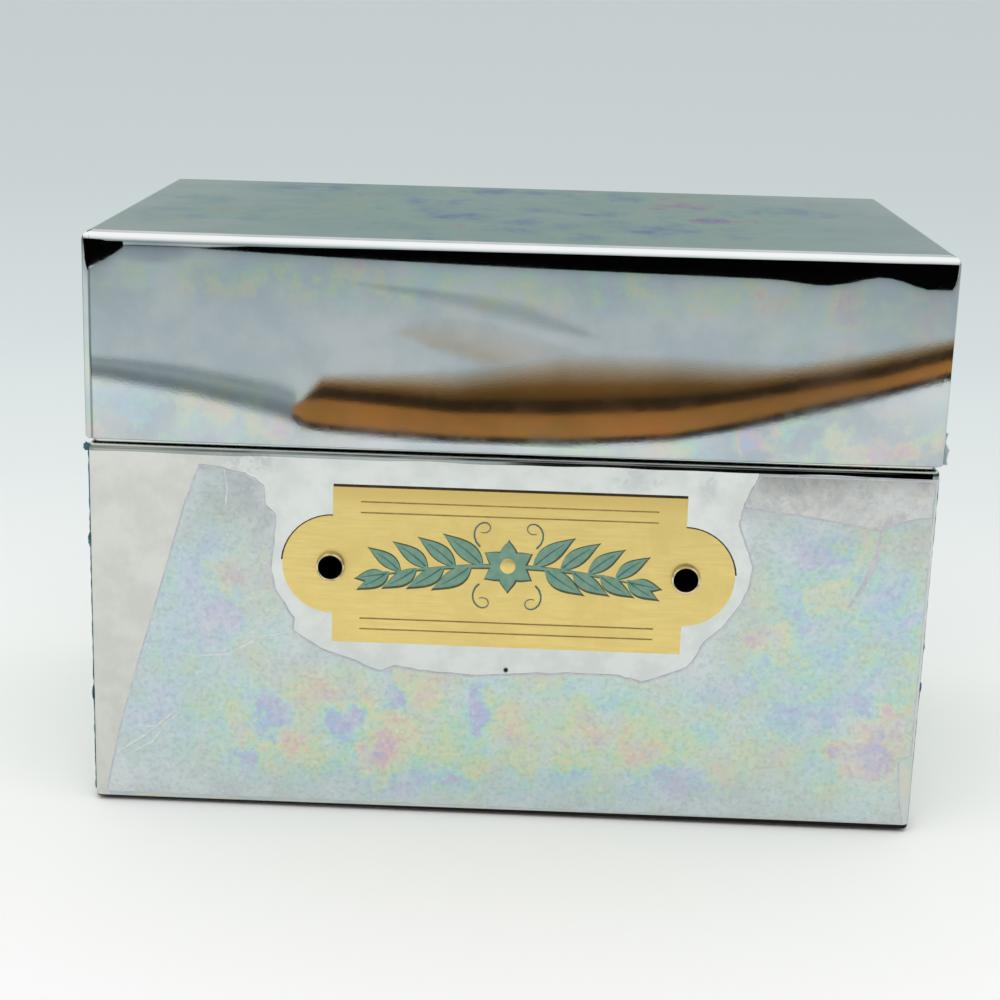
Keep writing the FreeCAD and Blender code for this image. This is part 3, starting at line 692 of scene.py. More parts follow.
FILMED_SIDES = (
    Patch((0.0, 0.0, 30.0), (300.0, 300.0, 200.0), 0.8),
)
LID_FRONT = FilmedChrome(
    tint="#8494A0", strength=0.72,
    tint_and_painted_reflection=(
        Patch((52.0, -45.5, 66.5), (34.0, 8.0, 11.0), 0.36),
        Patch((-54.0, -45.5, 66.0), (34.0, 8.0, 8.0), 0.3),
        # Painted reflection: a darker bluish patch just under the top bend at the left.
        Patch((-58.5, -45.0, 94.4), (7.5, 6.0, 2.2), 0.5),
    ),
    shown=(
        Patch((0.0, -46.0, 90.5), (90.0, 8.0, 5.0), 0.8),
        Patch((-52.0, -46.0, 68.0), (32.0, 8.0, 8.0), 0.6),
        Patch((52.0, -46.0, 66.5), (32.0, 8.0, 7.5), 0.75),
        Patch((54.0, -46.0, 87.0), (22.0, 8.0, 9.0), 0.4),
        Patch((20.0, -46.0, 66.5), (40.0, 8.0, 3.5), 0.7),
        Patch((70.0, 0.0, 80.0), (6.0, 60.0, 40.0), 0.8),
        Patch((-70.0, 0.0, 80.0), (6.0, 60.0, 40.0), 0.8),
        Patch((0.0, 45.0, 80.0), (90.0, 8.0, 40.0), 0.8),
    ),
    # Painted reflection: two dark lines down the lid's left corner.
    painted_dark_lines=(
        Patch((-69.94, -43.4, 80.0), (0.46, 0.75, 60.0)),
        Patch((-68.55, -44.5, 80.0), (0.26, 1.0, 60.0), 0.55),
    ),
    iridescence=Iridescence(9.0, 1.1, (
        Patch((-61.0, -45.5, 69.0), (8.0, 8.0, 6.0), -0.14),
        Patch((-48.0, -45.5, 65.5), (6.0, 8.0, 3.0), -0.09),
        Patch((-39.0, -45.5, 66.0), (6.0, 8.0, 4.0), 0.05),
        Patch((31.0, -45.5, 66.0), (7.0, 8.0, 4.0), -0.03),
        Patch((40.0, -45.5, 67.0), (5.0, 8.0, 6.0), 0.19),
        Patch((58.0, -45.5, 68.0), (12.0, 8.0, 6.0), 0.08),
        Patch((60.0, -45.5, 86.0), (12.0, 8.0, 7.0), 0.12),
    )),
)
TOP_DRIFT = (
    Patch((-44.0, 31.0, 97.4), (14.0, 9.0, 3.0), -0.17),
    Patch((-8.0, -10.0, 97.4), (13.0, 10.0, 3.0), -0.19),
    Patch((-4.0, 36.0, 97.4), (11.0, 7.0, 3.0), -0.13),
    Patch((9.0, 5.0, 97.4), (12.0, 8.0, 3.0), -0.19),
    Patch((35.0, -3.0, 97.4), (10.0, 8.0, 3.0), 0.2),
    Patch((24.0, 18.0, 97.4), (14.0, 9.0, 3.0), 0.08),
    Patch((52.0, 14.0, 97.4), (12.0, 12.0, 3.0), -0.1),
)
LID_TOP = FilmedChrome(
    "filmed_lid_top", tint="#A3C9C5", strength=0.9, broken_mm=15.0,
    tint_and_painted_reflection=(
        Patch((-4.0, 6.0, 97.5), (66.0, 82.0, 4.0)),
        Patch((46.0, -10.0, 97.5), (28.0, 60.0, 4.0), 0.55),
    ),
    shown=(Patch((-2.0, 0.0, 98.0), (78.0, 90.0, 3.0)),),
    iridescence=Iridescence(12.0, 1.3, TOP_DRIFT, (
        (0.28, "#A4A8DC"), (0.36, "#A6C2DC"), (0.45, "#ACD6CE"), (0.55, "#C2DDC4"), (0.64, "#D0D2BC"),
        (0.72, "#D2B4CE"), (0.8, "#B2AEDC"),
    ), 5.0, 12.0, (1.0, 0.4, 1.0)),
    glance="#E9EDEE",
    glancing=Iridescence(12.0, 1.3, TOP_DRIFT, (
        (0.28, "#C6CFE9"), (0.36, "#D1DCEA"), (0.45, "#E2EAEA"), (0.55, "#E9EFF0"), (0.64, "#EAEEEE"),
        (0.72, "#EADAEA"), (0.8, "#D3D0EB"),
    ), 5.0, 12.0, (1.0, 0.4, 1.0)),
)
INSIDE = TinnedInside()
FOLDED = ClearFilm(
    "folded_film", "#DADDDD", "#C4C8C8", 0.2, 0.6, iridescence=Iridescence(5.0, 1.6, (), (
        (0.36, "#A9ACA6"), (0.47, "#C3C6C2"), (0.56, "#C6C6BC"), (0.66, "#B2AFB2"),
    )),
)
SIDE_FILM = ClearFilm("side_film", "#C3CFD1", "#B0BEC2", 0.2, 0.6)
FLAP = Enamel("lifted_film", "#9FB0B1", "#8C9FA2", 0.35)
CREASED = Enamel("creased_film", "#D9DDDC", "#C3C8CB", 0.35)
FILM_RIM = Enamel("torn_film_rim", "#B4B7BE", "#C9CACD", 0.45)
TEAL_EDGE = Enamel("film_seen_edge_on", "#1E4651", "#2F7583", 0.4)
# Painted shadow colour for the nameplate's upper edges.
PAINTED_EDGE_SHADOW = Enamel("painted_plate_edge_shadow", "#2C1F0C", "#4A3414", 0.5)
# Painted shade colour for the plate's engraved lines.
PAINTED_GROOVE_SHADE = Enamel("painted_engraving_shade", "#8A6A28", "#B08D42", 0.5)
PANEL = BottomSteel()
GOLD = GoldPlate()
BRASS = Metalwork("polished_brass_eyelet", "#E4DCC0", "#B7A578", 0.12)
HINGE_STEEL = Metalwork("nickel_plated_steel", "#C6C7C6", "#B0B2B1", 0.24)
GREEN = Enamel("sage_green_enamel", "#66907D", "#7A9C86")
OUTLINE = Enamel("dark_engraved_line", "#3A4A38", "#54532E", 0.5)
HAIRLINE = Enamel("dark_green_hairline", "#2E5F63", "#3F7468", 0.45)


def new_piece(
    name: str,
    bm: bmesh.types.BMesh,
    finishes: Sequence[Finish],
    body: Body,
    replaced: Sequence[str] = (),
    angle: float = 35.0,
) -> None:
    """Turns a bmesh in millimetres into a piece of the object.

    Args:
        name: The piece's name.
        bm: The shape, which is freed.
        finishes: Its finishes, in the order of its material slots.
        body: The body that it rides on.
        replaced: CAD nodes that it stands for.
        angle: Edges sharper than this, in degrees, stay sharp.
    """
    bmesh.ops.recalc_face_normals(bm, faces=list(bm.faces))
    bmesh.ops.scale(bm, vec=(MM, MM, MM), verts=bm.verts)
    mesh = bpy.data.meshes.new(name)
    bm.to_mesh(mesh)
    bm.free()
    mesh.shade_smooth()
    mesh.set_sharp_from_angle(angle=math.radians(angle))
    piece = bpy.data.objects.new(name, mesh)
    bpy.context.scene.collection.objects.link(piece)
    for finish in finishes:
        mesh.materials.append(finish.material())
    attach(piece, body.value)
    if replaced:
        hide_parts(*replaced)
    LOG.info("%s: %d faces", name, len(mesh.polygons))


def dress(node: bpy.types.Object, material: bpy.types.Material) -> None:
    """Gives a CAD node its finish."""
    if not node.data.materials:
        node.data.materials.append(material)
    for index in range(len(node.data.materials)):
        node.data.materials[index] = material
    LOG.info("%s wears %s", node.name, material.name)


@dataclass(frozen=True)
class Viewpoint:
    """The photograph's camera, in millimetres and degrees, with its optical centre in pixels."""

    place: tuple[float, float, float] = (3.5, -378.8, 138.8)
    yaw: float = -2.48
    pitch: float = 16.18
    roll: float = 1.43
    focal_px: float = 2105.0
    centre: Spot = (440.0, 580.0)
    frame_px: float = 1000.0
    sensor: float = 36.0

    def axes(self) -> tuple[Vector, Vector, Vector]:
        """Gives the camera's right, up and forward directions."""
        yaw, pitch, roll = (math.radians(a) for a in (self.yaw, self.pitch, self.roll))
        forward = Vector((math.sin(yaw) * math.cos(pitch), math.cos(yaw) * math.cos(pitch), -math.sin(pitch)))
        level = Vector((math.cos(yaw), -math.sin(yaw), 0.0))
        above = level.cross(forward)
        right = level * math.cos(roll) + above * math.sin(roll)
        up = above * math.cos(roll) - level * math.sin(roll)
        return right, up, forward

    def ray(self, pixel: Spot) -> Vector:
        """Gives the direction that a pixel of the photograph looks in."""
        right, up, forward = self.axes()
        across = (pixel[0] - self.centre[0]) / self.focal_px
        down = (pixel[1] - self.centre[1]) / self.focal_px
        return (forward + right * across - up * down).normalized()

    def build(self) -> None:
        """Makes the scene's camera."""
        lens = bpy.data.cameras.new("camera")
        lens.sensor_width = self.sensor
        lens.lens = self.focal_px * self.sensor / self.frame_px
        middle = self.frame_px / 2
        lens.shift_x = (middle - self.centre[0]) / self.frame_px
        lens.shift_y = (self.centre[1] - middle) / self.frame_px
        lens.clip_start = 1 * MM
        lens.clip_end = 100.0
        camera = bpy.data.objects.new("camera", lens)
        bpy.context.scene.collection.objects.link(camera)
        right, up, forward = self.axes()
        turned = Matrix((right, up, -forward)).transposed().to_4x4()
        camera.matrix_world = Matrix.Translation(Vector(self.place) * MM) @ turned
        bpy.context.scene.camera = camera


@dataclass(frozen=True)
class MirroredBand:
    """Strips on the table in front of the box, placed by where the lid's front mirrors them.

    Each row is a line across the photograph, given by its heights at the same places, and the
    colour that the table has there. The strips fade from row to row.
    """

    name: str
    across: tuple[float, ...]
    rows: tuple[tuple[str, tuple[float, ...]], ...]
    height: float = 1.0
    # Whether the strips go on round the box's right corner.
    wraps: bool = False

    def build(self, mirrored: Callable[[Spot], Vector], corner: Vector) -> None:
        """Makes the strips, which show in reflections only.

        Args:
            mirrored: Gives the spot on the table that the lid's front mirrors at a pixel.
            corner: The foot of the box's right corner, which wrapped strips go round.
        """
        bm = bmesh.new()
        lift = Vector((0, 0, self.height * MM))
        for nearer, farther in zip(self.rows, self.rows[1:]):
            if nearer[1] == farther[1]:
                continue
            rows = (nearer[1], farther[1])
            lines = [[mirrored(pixel) + lift for pixel in zip(self.across, row)] for row in rows]
            for line in lines if self.wraps else ():
                arm = line[-1] - corner
                turns = [Matrix.Rotation(math.radians(degrees), 3, "Z") for degrees in range(12, 121, 12)]
                line += [corner + turn @ arm for turn in turns]
            painted_strip(bm, lines, (nearer[0], farther[0]))
        stage_piece(self.name, bm, MattCard(), seen=False)


def painted_strip(bm: bmesh.types.BMesh, lines: Sequence[Sequence[Vector]], colours: Sequence[str]) -> None:
    """Adds a strip between two lines of spots, each painted in its own colour.

    Args:
        bm: The mesh.
        lines: Both lines' spots, in metres.
        colours: Their hex colours.
    """
    paint = bm.verts.layers.float_color.get(PAINT) or bm.verts.layers.float_color.new(PAINT)
    loops = []
    for line, colour in zip(lines, colours):
        verts = [bm.verts.new(spot) for spot in line]
        for vert in verts:
            vert[paint] = linear(colour)
        loops.append([bm.edges.new(pair) for pair in zip(verts, verts[1:])])
    bmesh.ops.bridge_loops(bm, edges=loops[0] + loops[1])


def stage_piece(name: str, bm: bmesh.types.BMesh, finish: Finish, seen: bool = True) -> None:
    """Makes a piece of the stage.

    Args:
        name: The piece's name.
        bm: The shape, which is freed.
        finish: Its finish.
        seen: Whether the viewer sees it, or only the chrome.
    """
    mesh = bpy.data.meshes.new(name)
    bm.to_mesh(mesh)
    bm.free()
    mesh.materials.append(finish.material())
    piece = bpy.data.objects.new(name, mesh)
    bpy.context.scene.collection.objects.link(piece)
    piece.visible_camera = seen
    piece.visible_diffuse = seen
    piece.visible_shadow = seen


@dataclass(frozen=True)
class Studio:
    """A pale floor under a pale sky, soft light, and what the chrome mirrors."""

    viewpoint: Viewpoint
    floor_reach: float = 30.0
    # Sine of the height above the horizon, and the sky's colour there.
    sky: tuple[tuple[float, str], ...] = (
        (0.0, "#B4BEBD"),
        (0.10, "#A9B5B3"),
        (0.20, "#B4BEBD"),
        (0.34, "#E4E8E8"),
        (0.5, "#FFFFFF"),
    )
    lid_front: float = 44.45
    lid_crown: float = 1.0
    lid_half: float = 69.85
    # Dark cards that only the chrome sees: how far each stands from the box's middle, the level of
    # its foot, and its upper edge as places across and levels, in metres. The first is the dark
    # room behind the viewer. The second carries on above it for the lid's front bend, nearer, so
    # that the lid's flat top doesn't mirror it.
    cards: tuple[tuple[float, float, tuple[Spot, ...]], ...] = (
        (-1.7, 0.0, (
            (-3.5, 0.25), (-0.53, 0.25), (-0.51, 0.0), (-0.385, 0.0), (-0.33, 0.07), (-0.28, 0.14),
            (-0.222, 0.25), (3.5, 0.25),
        )),
        (-0.0575, 0.0947, (
            (-0.1, 0.1003), (-0.0777, 0.1003), (-0.0735, 0.0996), (-0.0706, 0.0948), (-0.0527, 0.0948),
            (-0.0449, 0.0957), (-0.0377, 0.0962), (-0.0263, 0.0974), (0.0095, 0.0997), (0.0524, 0.1003),
            (0.1, 0.1003),
        )),
    )
    # The same for the body's shoulder, as the card's far and near edge.
    shoulder_card: tuple[tuple[tuple[float, float, float], ...], ...] = (
        (
            (-0.0565, -0.2455, 0.0846), (-0.0512, -0.2455, 0.0846), (0.016, -0.2455, 0.0846),
            (0.0966, -0.2455, 0.0846), (0.1258, -0.2455, 0.0846),
        ),
        (
            (-0.0565, -0.2445, 0.0846), (-0.0478, -0.2125, 0.0865), (0.0133, -0.131, 0.0913),
            (0.0716, -0.1024, 0.093), (0.0926, -0.1005, 0.0931),
        ),
    )
    card_black: str = "#060606"
    sky_strength: float = 0.95
    # The soft light: its place and size in metres and its power in watts.
    light_place: tuple[float, float, float] = (-0.3, -1.5, 1.7)
    light_size: Spot = (2.4, 1.6)
    light_power: float = 9.0
    light_target: tuple[float, float, float] = (0.0, 0.0, 0.05)

    def mirrored_spot(self, pixel: Spot) -> Vector:
        """Gives the spot on the table that the lid's bowed front mirrors.

        Args:
            pixel: A place in the photograph, in pixels.

        Returns:
            The spot, in metres.
        """
        eye = Vector(self.viewpoint.place)
        ray = self.viewpoint.ray(pixel)
        bow = self.lid_crown
        hit = eye + ray * ((-self.lid_front - bow - eye.y) / ray.y)
        hit = eye + ray * ((-self.lid_front - bow * (1 - (hit.x / self.lid_half) ** 2) - eye.y) / ray.y)
        outward = Vector((2 * bow * hit.x / self.lid_half**2, -1.0, 0.0)).normalized()
        mirrored = ray - 2 * ray.dot(outward) * outward
        return (hit + mirrored * (-hit.z / mirrored.z)) * MM

    def build_floor(self) -> None:
        """Makes the floor."""
        bm = bmesh.new()
        bmesh.ops.create_grid(bm, x_segments=1, y_segments=1, size=self.floor_reach)
        stage_piece("floor", bm, PaperSweep())

    def build_sky(self) -> None:
        """Makes the world: grey near the horizon and white overhead."""
        world = bpy.data.worlds.new("sky")
        world.use_nodes = True
        tree = world.node_tree
        tree.nodes.clear()
        direction = add(tree, "ShaderNodeTexCoord", output="Generated")
        up = add(tree, "ShaderNodeSeparateXYZ", {0: direction}, output="Z")
        fade = add(tree, "ShaderNodeValToRGB", {"Fac": up}, stops=self.sky)
        light = add(tree, "ShaderNodeBackground", {"Color": fade, "Strength": self.sky_strength})
        add(tree, "ShaderNodeOutputWorld", {"Surface": light})
        bpy.context.scene.world = world

    def build_light(self) -> None:
        """Makes a broad soft light above and in front, which the chrome doesn't mirror."""
        data = bpy.data.lights.new("front_softbox", "AREA")
        data.shape = "RECTANGLE"
        data.size, data.size_y = self.light_size
        data.energy = self.light_power
        light = bpy.data.objects.new("front_softbox", data)
        light.location = self.light_place
        shone_on = Vector(self.light_target) - light.location
        light.rotation_euler = shone_on.to_track_quat("-Z", "Y").to_euler()
        light.visible_glossy = False
        bpy.context.scene.collection.objects.link(light)

    def build_dark_room(self) -> None:
        """Makes the dark room behind the viewer, which only the chrome sees."""
        bm = bmesh.new()
        upright = [
            ([(x, y, z) for x, z in edge], [(x, y, foot) for x, _ in edge]) for y, foot, edge in self.cards
        ]
        for card in (*upright, self.shoulder_card):
            painted_strip(bm, [[Vector(spot) for spot in line] for line in card], (self.card_black,) * 2)
        stage_piece("dark_room", bm, MattCard(), seen=False)

    def build_table_edge(self) -> None:
        """Makes the table's wooden edge and the dim room beyond it, as the lid mirrors them."""
        cloth = (-60, 60, 91, 189, 275, 296)
        wood = (292, 304, 322, 380, 454, 564, 673, 740, 795, 880, 950)

        def level(height: float) -> tuple[float, ...]:
            """Gives a level line's heights at the floor's places."""
            tilt = math.tan(math.radians(self.viewpoint.roll))
            return tuple(height + tilt * (x - self.viewpoint.centre[0]) for x in (*cloth[:-1], *wood))

        floor_start = (346, 367, 378, 395, 416, 424, 431, 434, 440, 446, 449, 444, 433, 421, 402, 383)
        underline = (424, 431.5, 434.5, 440, 446, 449, 444, 433, 421, 401.5, 383)
        edge = (416, 424, 427, 433, 439, 442, 437, 425, 412, 393, 375)
        groove = (410, 403, 402, 408, 416, 418, 414, 404.5, 395.5, 380.5, 362)
        groove_top = (410, 402.5, 391, 395.5, 403, 403, 399.5, 393.5, 384.5, 370, 352)
        floor_rows = (
            ("#D3D8DA", level(330)), ("#CBD1D3", level(300)), ("#C4CACC", level(262)),
            ("#BCC3C6", level(215)), ("#A6AEB1", level(150)), ("#6F7779", level(92)),
        )
        bands = (
            MirroredBand(
                "dim_floor", (*cloth[:-1], *wood), (("#DDE1E2", floor_start), *floor_rows), 0.5, True
            ),
            MirroredBand("cloth_edge", cloth, (
                ("#DDE1E2", (352, 373, 381, 399, 421, 428)), ("#818B8F", (347, 368, 375, 392, 413, 421)),
                ("#8D969A", (341, 361, 368, 385, 404, 412)), ("#B0B8BB", (336, 357, 364, 379, 397, 404)),
                ("#98A1A5", (333, 354, 361, 374, 392, 399)), ("#CDD3D5", (327, 348, 356, 367, 384, 391)),
            )),
            MirroredBand("table_edge", wood, (
                ("#241A12", underline), ("#241A12", edge), ("#BE8146", edge), ("#AC733A", groove),
                ("#3C2D1C", groove), ("#33261A", groove_top), ("#5F431F", groove_top),
                ("#80592C", (410, 402, 387, 390.5, 395, 388, 387, 387, 381, 366, 348.5)),
                ("#AE977A", (410, 401, 383, 384, 386, 373, 375, 378, 374.5, 360.5, 343.5)),
                ("#CFD2D2", (410, 400, 377, 376, 373, 355, 359, 365, 366, 353, 337)),
            ), wraps=True),
            MirroredBand("dim_streak", (345, 385, 430, 480, 530, 570, 600), (
                ("#CCD2D4", (268, 287, 302, 317, 330, 338, 340)),
                ("#ACB5B9", (267, 279, 290, 303, 319, 333, 339.6)),
                ("#ACB5B9", (266, 274, 283, 295, 310, 329, 339.3)),
                ("#C8CDD0", (265, 267, 273, 283, 298, 323, 339)),
            ), 1.2),
            MirroredBand("warm_haze", (395, 430, 465, 500, 535, 570, 610), (
                ("#CDD2D3", (334, 352, 364, 376, 387, 387, 380)),
                ("#CBBFAE", (333.7, 344, 354, 366, 376, 379, 377)),
                ("#CECBC4", (333.3, 333, 338, 348, 360, 369, 374)),
                ("#C9CDCE", (333, 319, 319, 327, 339, 351, 366)),
            ), 0.9),
        )
        for band in bands:
            band.build(self.mirrored_spot, Vector((self.lid_half, -self.lid_front, 0)) * MM)

    def build(self) -> None:
        """Makes the whole stage."""
        self.build_floor()
        self.build_sky()
        self.build_light()
        self.build_dark_room()
        self.build_table_edge()


@dataclass(frozen=True)
class SheetRing:
    """A rounded rectangle that a bent sheet follows, with its front side bowed out."""

    half_x: float
    half_y: float
    radius: float
    crown: float = 0.0
    corner_steps: int = 8
    front_cuts: int = 69
    side_cuts: int = 11
    least_radius: float = 0.3
    corner_margin: float = 0.12

    def start(self, bm: bmesh.types.BMesh) -> list[bmesh.types.BMEdge]:
        """Makes the first ring and marks each point's outward direction and corner centre.

        Args:
            bm: The mesh, still empty.

        Returns:
            The ring's edges.
        """
        bmesh.ops.create_grid(bm, x_segments=1, y_segments=1, size=1.0)
        bmesh.ops.transform(bm, matrix=Matrix.Diagonal((self.half_x, self.half_y, 1, 1)), verts=bm.verts)
        bmesh.ops.bevel(
            bm, geom=list(bm.verts), offset=self.radius, affect="VERTICES",
            segments=self.corner_steps, profile=0.5, material=-1,
        )
        bmesh.ops.delete(bm, geom=list(bm.faces), context="FACES_ONLY")
        longest = 2 * self.radius
        straight = [edge for edge in bm.edges if edge.calc_length() > longest]
        along_x = [edge for edge in straight if abs(edge.verts[0].co.y - edge.verts[1].co.y) < WELD]
        along_y = [edge for edge in straight if edge not in along_x]
        bmesh.ops.subdivide_edges(bm, edges=along_x, cuts=self.front_cuts)
        bmesh.ops.subdivide_edges(bm, edges=along_y, cuts=self.side_cuts)
        outward = bm.verts.layers.float_vector.new("outward")
        core = bm.verts.layers.float_vector.new("core")
        inner_x, inner_y = self.half_x - self.radius, self.half_y - self.radius
        pitch_x = 2 * inner_x / (self.front_cuts + 1)
        pitch_y = 2 * inner_y / (self.side_cuts + 1)
        for vert in bm.verts:
            # The spots next to a corner move close to it, so that the flat stays flat up to the bend.
            if 0.5 * pitch_x < inner_x - abs(vert.co.x) < 1.5 * pitch_x:
                vert.co.x = math.copysign(inner_x - self.corner_margin, vert.co.x)
            if 0.5 * pitch_y < inner_y - abs(vert.co.y) < 1.5 * pitch_y:
                vert.co.y = math.copysign(inner_y - self.corner_margin, vert.co.y)
            middle = Vector((
                max(-inner_x, min(inner_x, vert.co.x)), max(-inner_y, min(inner_y, vert.co.y)), 0.0
            ))
            vert[core] = middle
            vert[outward] = (vert.co - middle).normalized()
        return list(bm.edges)

    def point(self, core: Vector, outward: Vector, inset: float, level: float) -> Vector:
        """Gives the place of a ring's point, in millimetres.

        Args:
            core: The centre of its corner, or the spot itself on a straight side.
            outward: Its outward direction.
            inset: How far it lies inside the outer face.
            level: Its height.

        Returns:
            The place.
        """
        radius = max(self.radius - inset, self.least_radius)
        moved = inset - (self.radius - radius)
        x = math.copysign(max(min(abs(core.x), self.half_x - self.radius - moved), 0.0), core.x)
        y = math.copysign(max(min(abs(core.y), self.half_y - self.radius - moved), 0.0), core.y)
        place = Vector((x, y, 0.0)) + outward * radius
        if place.y < 0:
            bow = self.crown * (1 - (place.x / self.half_x) ** 2)
            place.y -= bow * min(1.0, -place.y / (self.half_y * 0.6))
        place.z = level
        return place

    def sweep(
        self,
        bm: bmesh.types.BMesh,
        edges: list[bmesh.types.BMEdge],
        steps: Sequence[Spot],
        shift: Callable[[Vector, Vector, float], Vector],
        material_index: int = 0,
    ) -> list[bmesh.types.BMEdge]:
        """Extrudes a ring through (inset, level) steps.

        Args:
            bm: The mesh.
            edges: The ring that it starts from.
            steps: Insets and levels in millimetres.
            shift: Gives a point's small displacement from its place, outward direction and inset.
            material_index: The material slot of the new faces.

        Returns:
            The last ring.
        """
        core = bm.verts.layers.float_vector["core"]
        outward = bm.verts.layers.float_vector["outward"]
        for inset, level in steps:
            made = bmesh.ops.extrude_edge_only(bm, edges=edges)["geom"]
            verts = {g for g in made if isinstance(g, bmesh.types.BMVert)}
            edges = [g for g in made if isinstance(g, bmesh.types.BMEdge) and set(g.verts) <= verts]
            for face in (g for g in made if isinstance(g, bmesh.types.BMFace)):
                face.material_index = material_index
            for vert in verts:
                place = self.point(vert[core], vert[outward], inset, level)
                vert.co = place + shift(place, vert[outward], inset)
        return edges


def arc_steps(
    inset: float, level: float, radius: float, first: float, last: float, count: int
) -> list[Spot]:
    """Gives (inset, level) steps round a bend whose centre is at inset and level.

    Args:
        inset: Inset of the bend's centre.
        level: Level of the bend's centre.
        radius: The bend's radius.
        first: Start angle in degrees; 0 points outwards and 90 up.
        last: End angle.
        count: Number of steps.

    Returns:
        The steps after the first angle.
    """
    steps = []
    for index in range(1, count + 1):
        angle = math.radians(first + (last - first) * index / count)
        steps.append((inset - radius * math.cos(angle), level + radius * math.sin(angle)))
    return steps


@dataclass
class Lid:
    """The drawn lid: bent top edges, a bowed front, thin spots under the front bend and a hem."""

    half_x: float = 69.85
    half_y: float = 44.45
    seam: float = 63.6
    top: float = 97.5
    wall: float = 0.4
    corner: float = 1.2
    crown: float = 1.0
    bend: float = 1.7
    hem: float = 4.0
    hem_round: float = 0.35
    top_sag: float = 0.25
    lean_reach: float = 2.0
    # Dents under the front bend: depth, place across and width.
    dents: tuple[tuple[float, float, float], ...] = (
        (0.66, -70.0, 3.0), (0.32, 66.0, 2.6), (0.15, 48.0, 4.0), (-0.15, 57.5, 4.0),
    )
    sharp_angle: float = 60.0

    def lean_back(self, x: float) -> float:
        """Gives how far the front leans back just under the top bend.

        Args:
            x: A place across the front, in millimetres.

        Returns:
            The lean, in millimetres.
        """
        def hump(at: float, wide: float) -> float:
            """Gives a smooth hump of height 1."""
            return math.exp(-(((x - at) / wide) ** 2))

        steady = max(0.0, min(1.0, (x + 50) / 110))
        dents = sum(depth * hump(at, wide) for depth, at, wide in self.dents)
        return 0.10 + 0.24 * steady + dents

    def shift(self, place: Vector, outward: Vector, inset: float) -> Vector:
        """Gives the sheet's small departures from a plain box.

        Args:
            place: A point of the plain box, in millimetres.
            outward: Its outward direction.
            inset: How far it lies inside the outer face.

        Returns:
            The displacement.
        """
        moved = Vector()
        facing = max(0.0, -outward.y)
        drop = max(0.0, self.top - self.bend - place.z)
        over = max(0.0, 1 - max(0.0, inset - self.bend) / 6)
        reach = self.lean_reach + 1.6 * math.exp(-(((place.x + 69.5) / 3.4) ** 2))
        moved.y += facing * over * self.lean_back(place.x) * math.exp(-drop / reach)
        if inset > self.bend:
            spread = (1 - (place.x / self.half_x) ** 2) * (1 - (place.y / self.half_y) ** 2)
            moved.z -= self.top_sag * max(0.0, spread)
        return moved

    def build(self) -> None:
        """Makes the lid's shell."""
        ring = SheetRing(self.half_x, self.half_y, self.corner, self.crown)
        bm = bmesh.new()
        first = ring.start(bm)
        core = bm.verts.layers.float_vector["core"]
        outward = bm.verts.layers.float_vector["outward"]
        for vert in bm.verts:
            vert.co = ring.point(vert[core], vert[outward], self.wall, self.seam)
        fold = self.seam + self.hem_round
        shoulder = self.top - self.bend
        levels = [fold + 1.0 + 2.2 * i for i in range(12)]
        near_bend = [shoulder - d for d in (5.5, 4.2, 3.2, 2.4, 1.8, 1.3, 0.9, 0.6, 0.3, 0.0)]
        walls = [(0.0, z) for z in levels + near_bend]
        outside = arc_steps(self.hem_round, fold, self.hem_round, -90, 0, 5)
        outside += walls
        outside += arc_steps(self.bend, shoulder, self.bend, 0, 90, 12)
        flats = (2.2, 4.0, 7.0, 12.0, 18.0, 25.0, 32.0, 39.0, 43.5)
        last = ring.sweep(bm, first, outside, self.shift)
        last = ring.sweep(bm, last, [(inset, self.top) for inset in flats], self.shift, 2)
        middle = {vert for edge in last for vert in edge.verts}
        inner = 2 * self.wall
        inside = arc_steps(inner - self.hem_round, fold, -self.hem_round, 90, 0, 5)
        hem_top = self.seam + self.hem
        inside += [(inner, hem_top), (inner - 0.1, hem_top + 0.1), (self.wall, hem_top + 0.1)]
        inside += [(self.wall, hem_top + 8.0), (self.wall, hem_top + 16.0), (self.wall, shoulder)]
        inner_bend = self.bend - self.wall
        inside += arc_steps(self.bend, shoulder, inner_bend, 0, 90, 8)
        inside += [(inset, self.top - self.wall) for inset in flats[1:]]
        last = ring.sweep(bm, first, inside, self.shift, 1)
        # The last rings close along the lid's middle line.
        for vert in middle | {vert for edge in last for vert in edge.verts}:
            vert.co.y = 0.0
        bmesh.ops.remove_doubles(bm, verts=list(bm.verts), dist=WELD)
        new_piece(
            "lid_sheet", bm, (LID_FRONT, INSIDE, LID_TOP), Body.LID, ("lid_shell",),
            self.sharp_angle,
        )
        bm = bmesh.new()
        flap = (
            (69.4, 69.6), (70.3, 69.0), (70.0, 67.4), (70.7, 66.2), (70.4, 64.6), (70.6, 63.8), (69.4, 63.7)
        )
        plane = Matrix.Translation((0, -43.2, 0)) @ Matrix.Rotation(math.radians(90), 4, "X")
        flat_sheet(bm, flap, plane, range(6), rim=0.15, tear=0.2, thickness=0.06)
        new_piece("lid_film_flap", bm, (FLAP, FILM_RIM), Body.LID)


def settle(bm: bmesh.types.BMesh, start: int, plane: Matrix, thickness: float) -> None:
    """Thickens the newest shape of a mesh and puts it in its plane.

    Args:
        bm: The mesh.
        start: How many vertices it had before that shape.
        plane: Puts the plane's x and y in place and its z outwards.
        thickness: The shape's thickness, in millimetres.
    """
    bm.verts.ensure_lookup_table()
    faces = list(dict.fromkeys(face for vert in list(bm.verts)[start:] for face in vert.link_faces))
    bmesh.ops.solidify(bm, geom=faces, thickness=thickness)
    bm.verts.ensure_lookup_table()
    bmesh.ops.transform(bm, matrix=plane, verts=list(bm.verts)[start:])


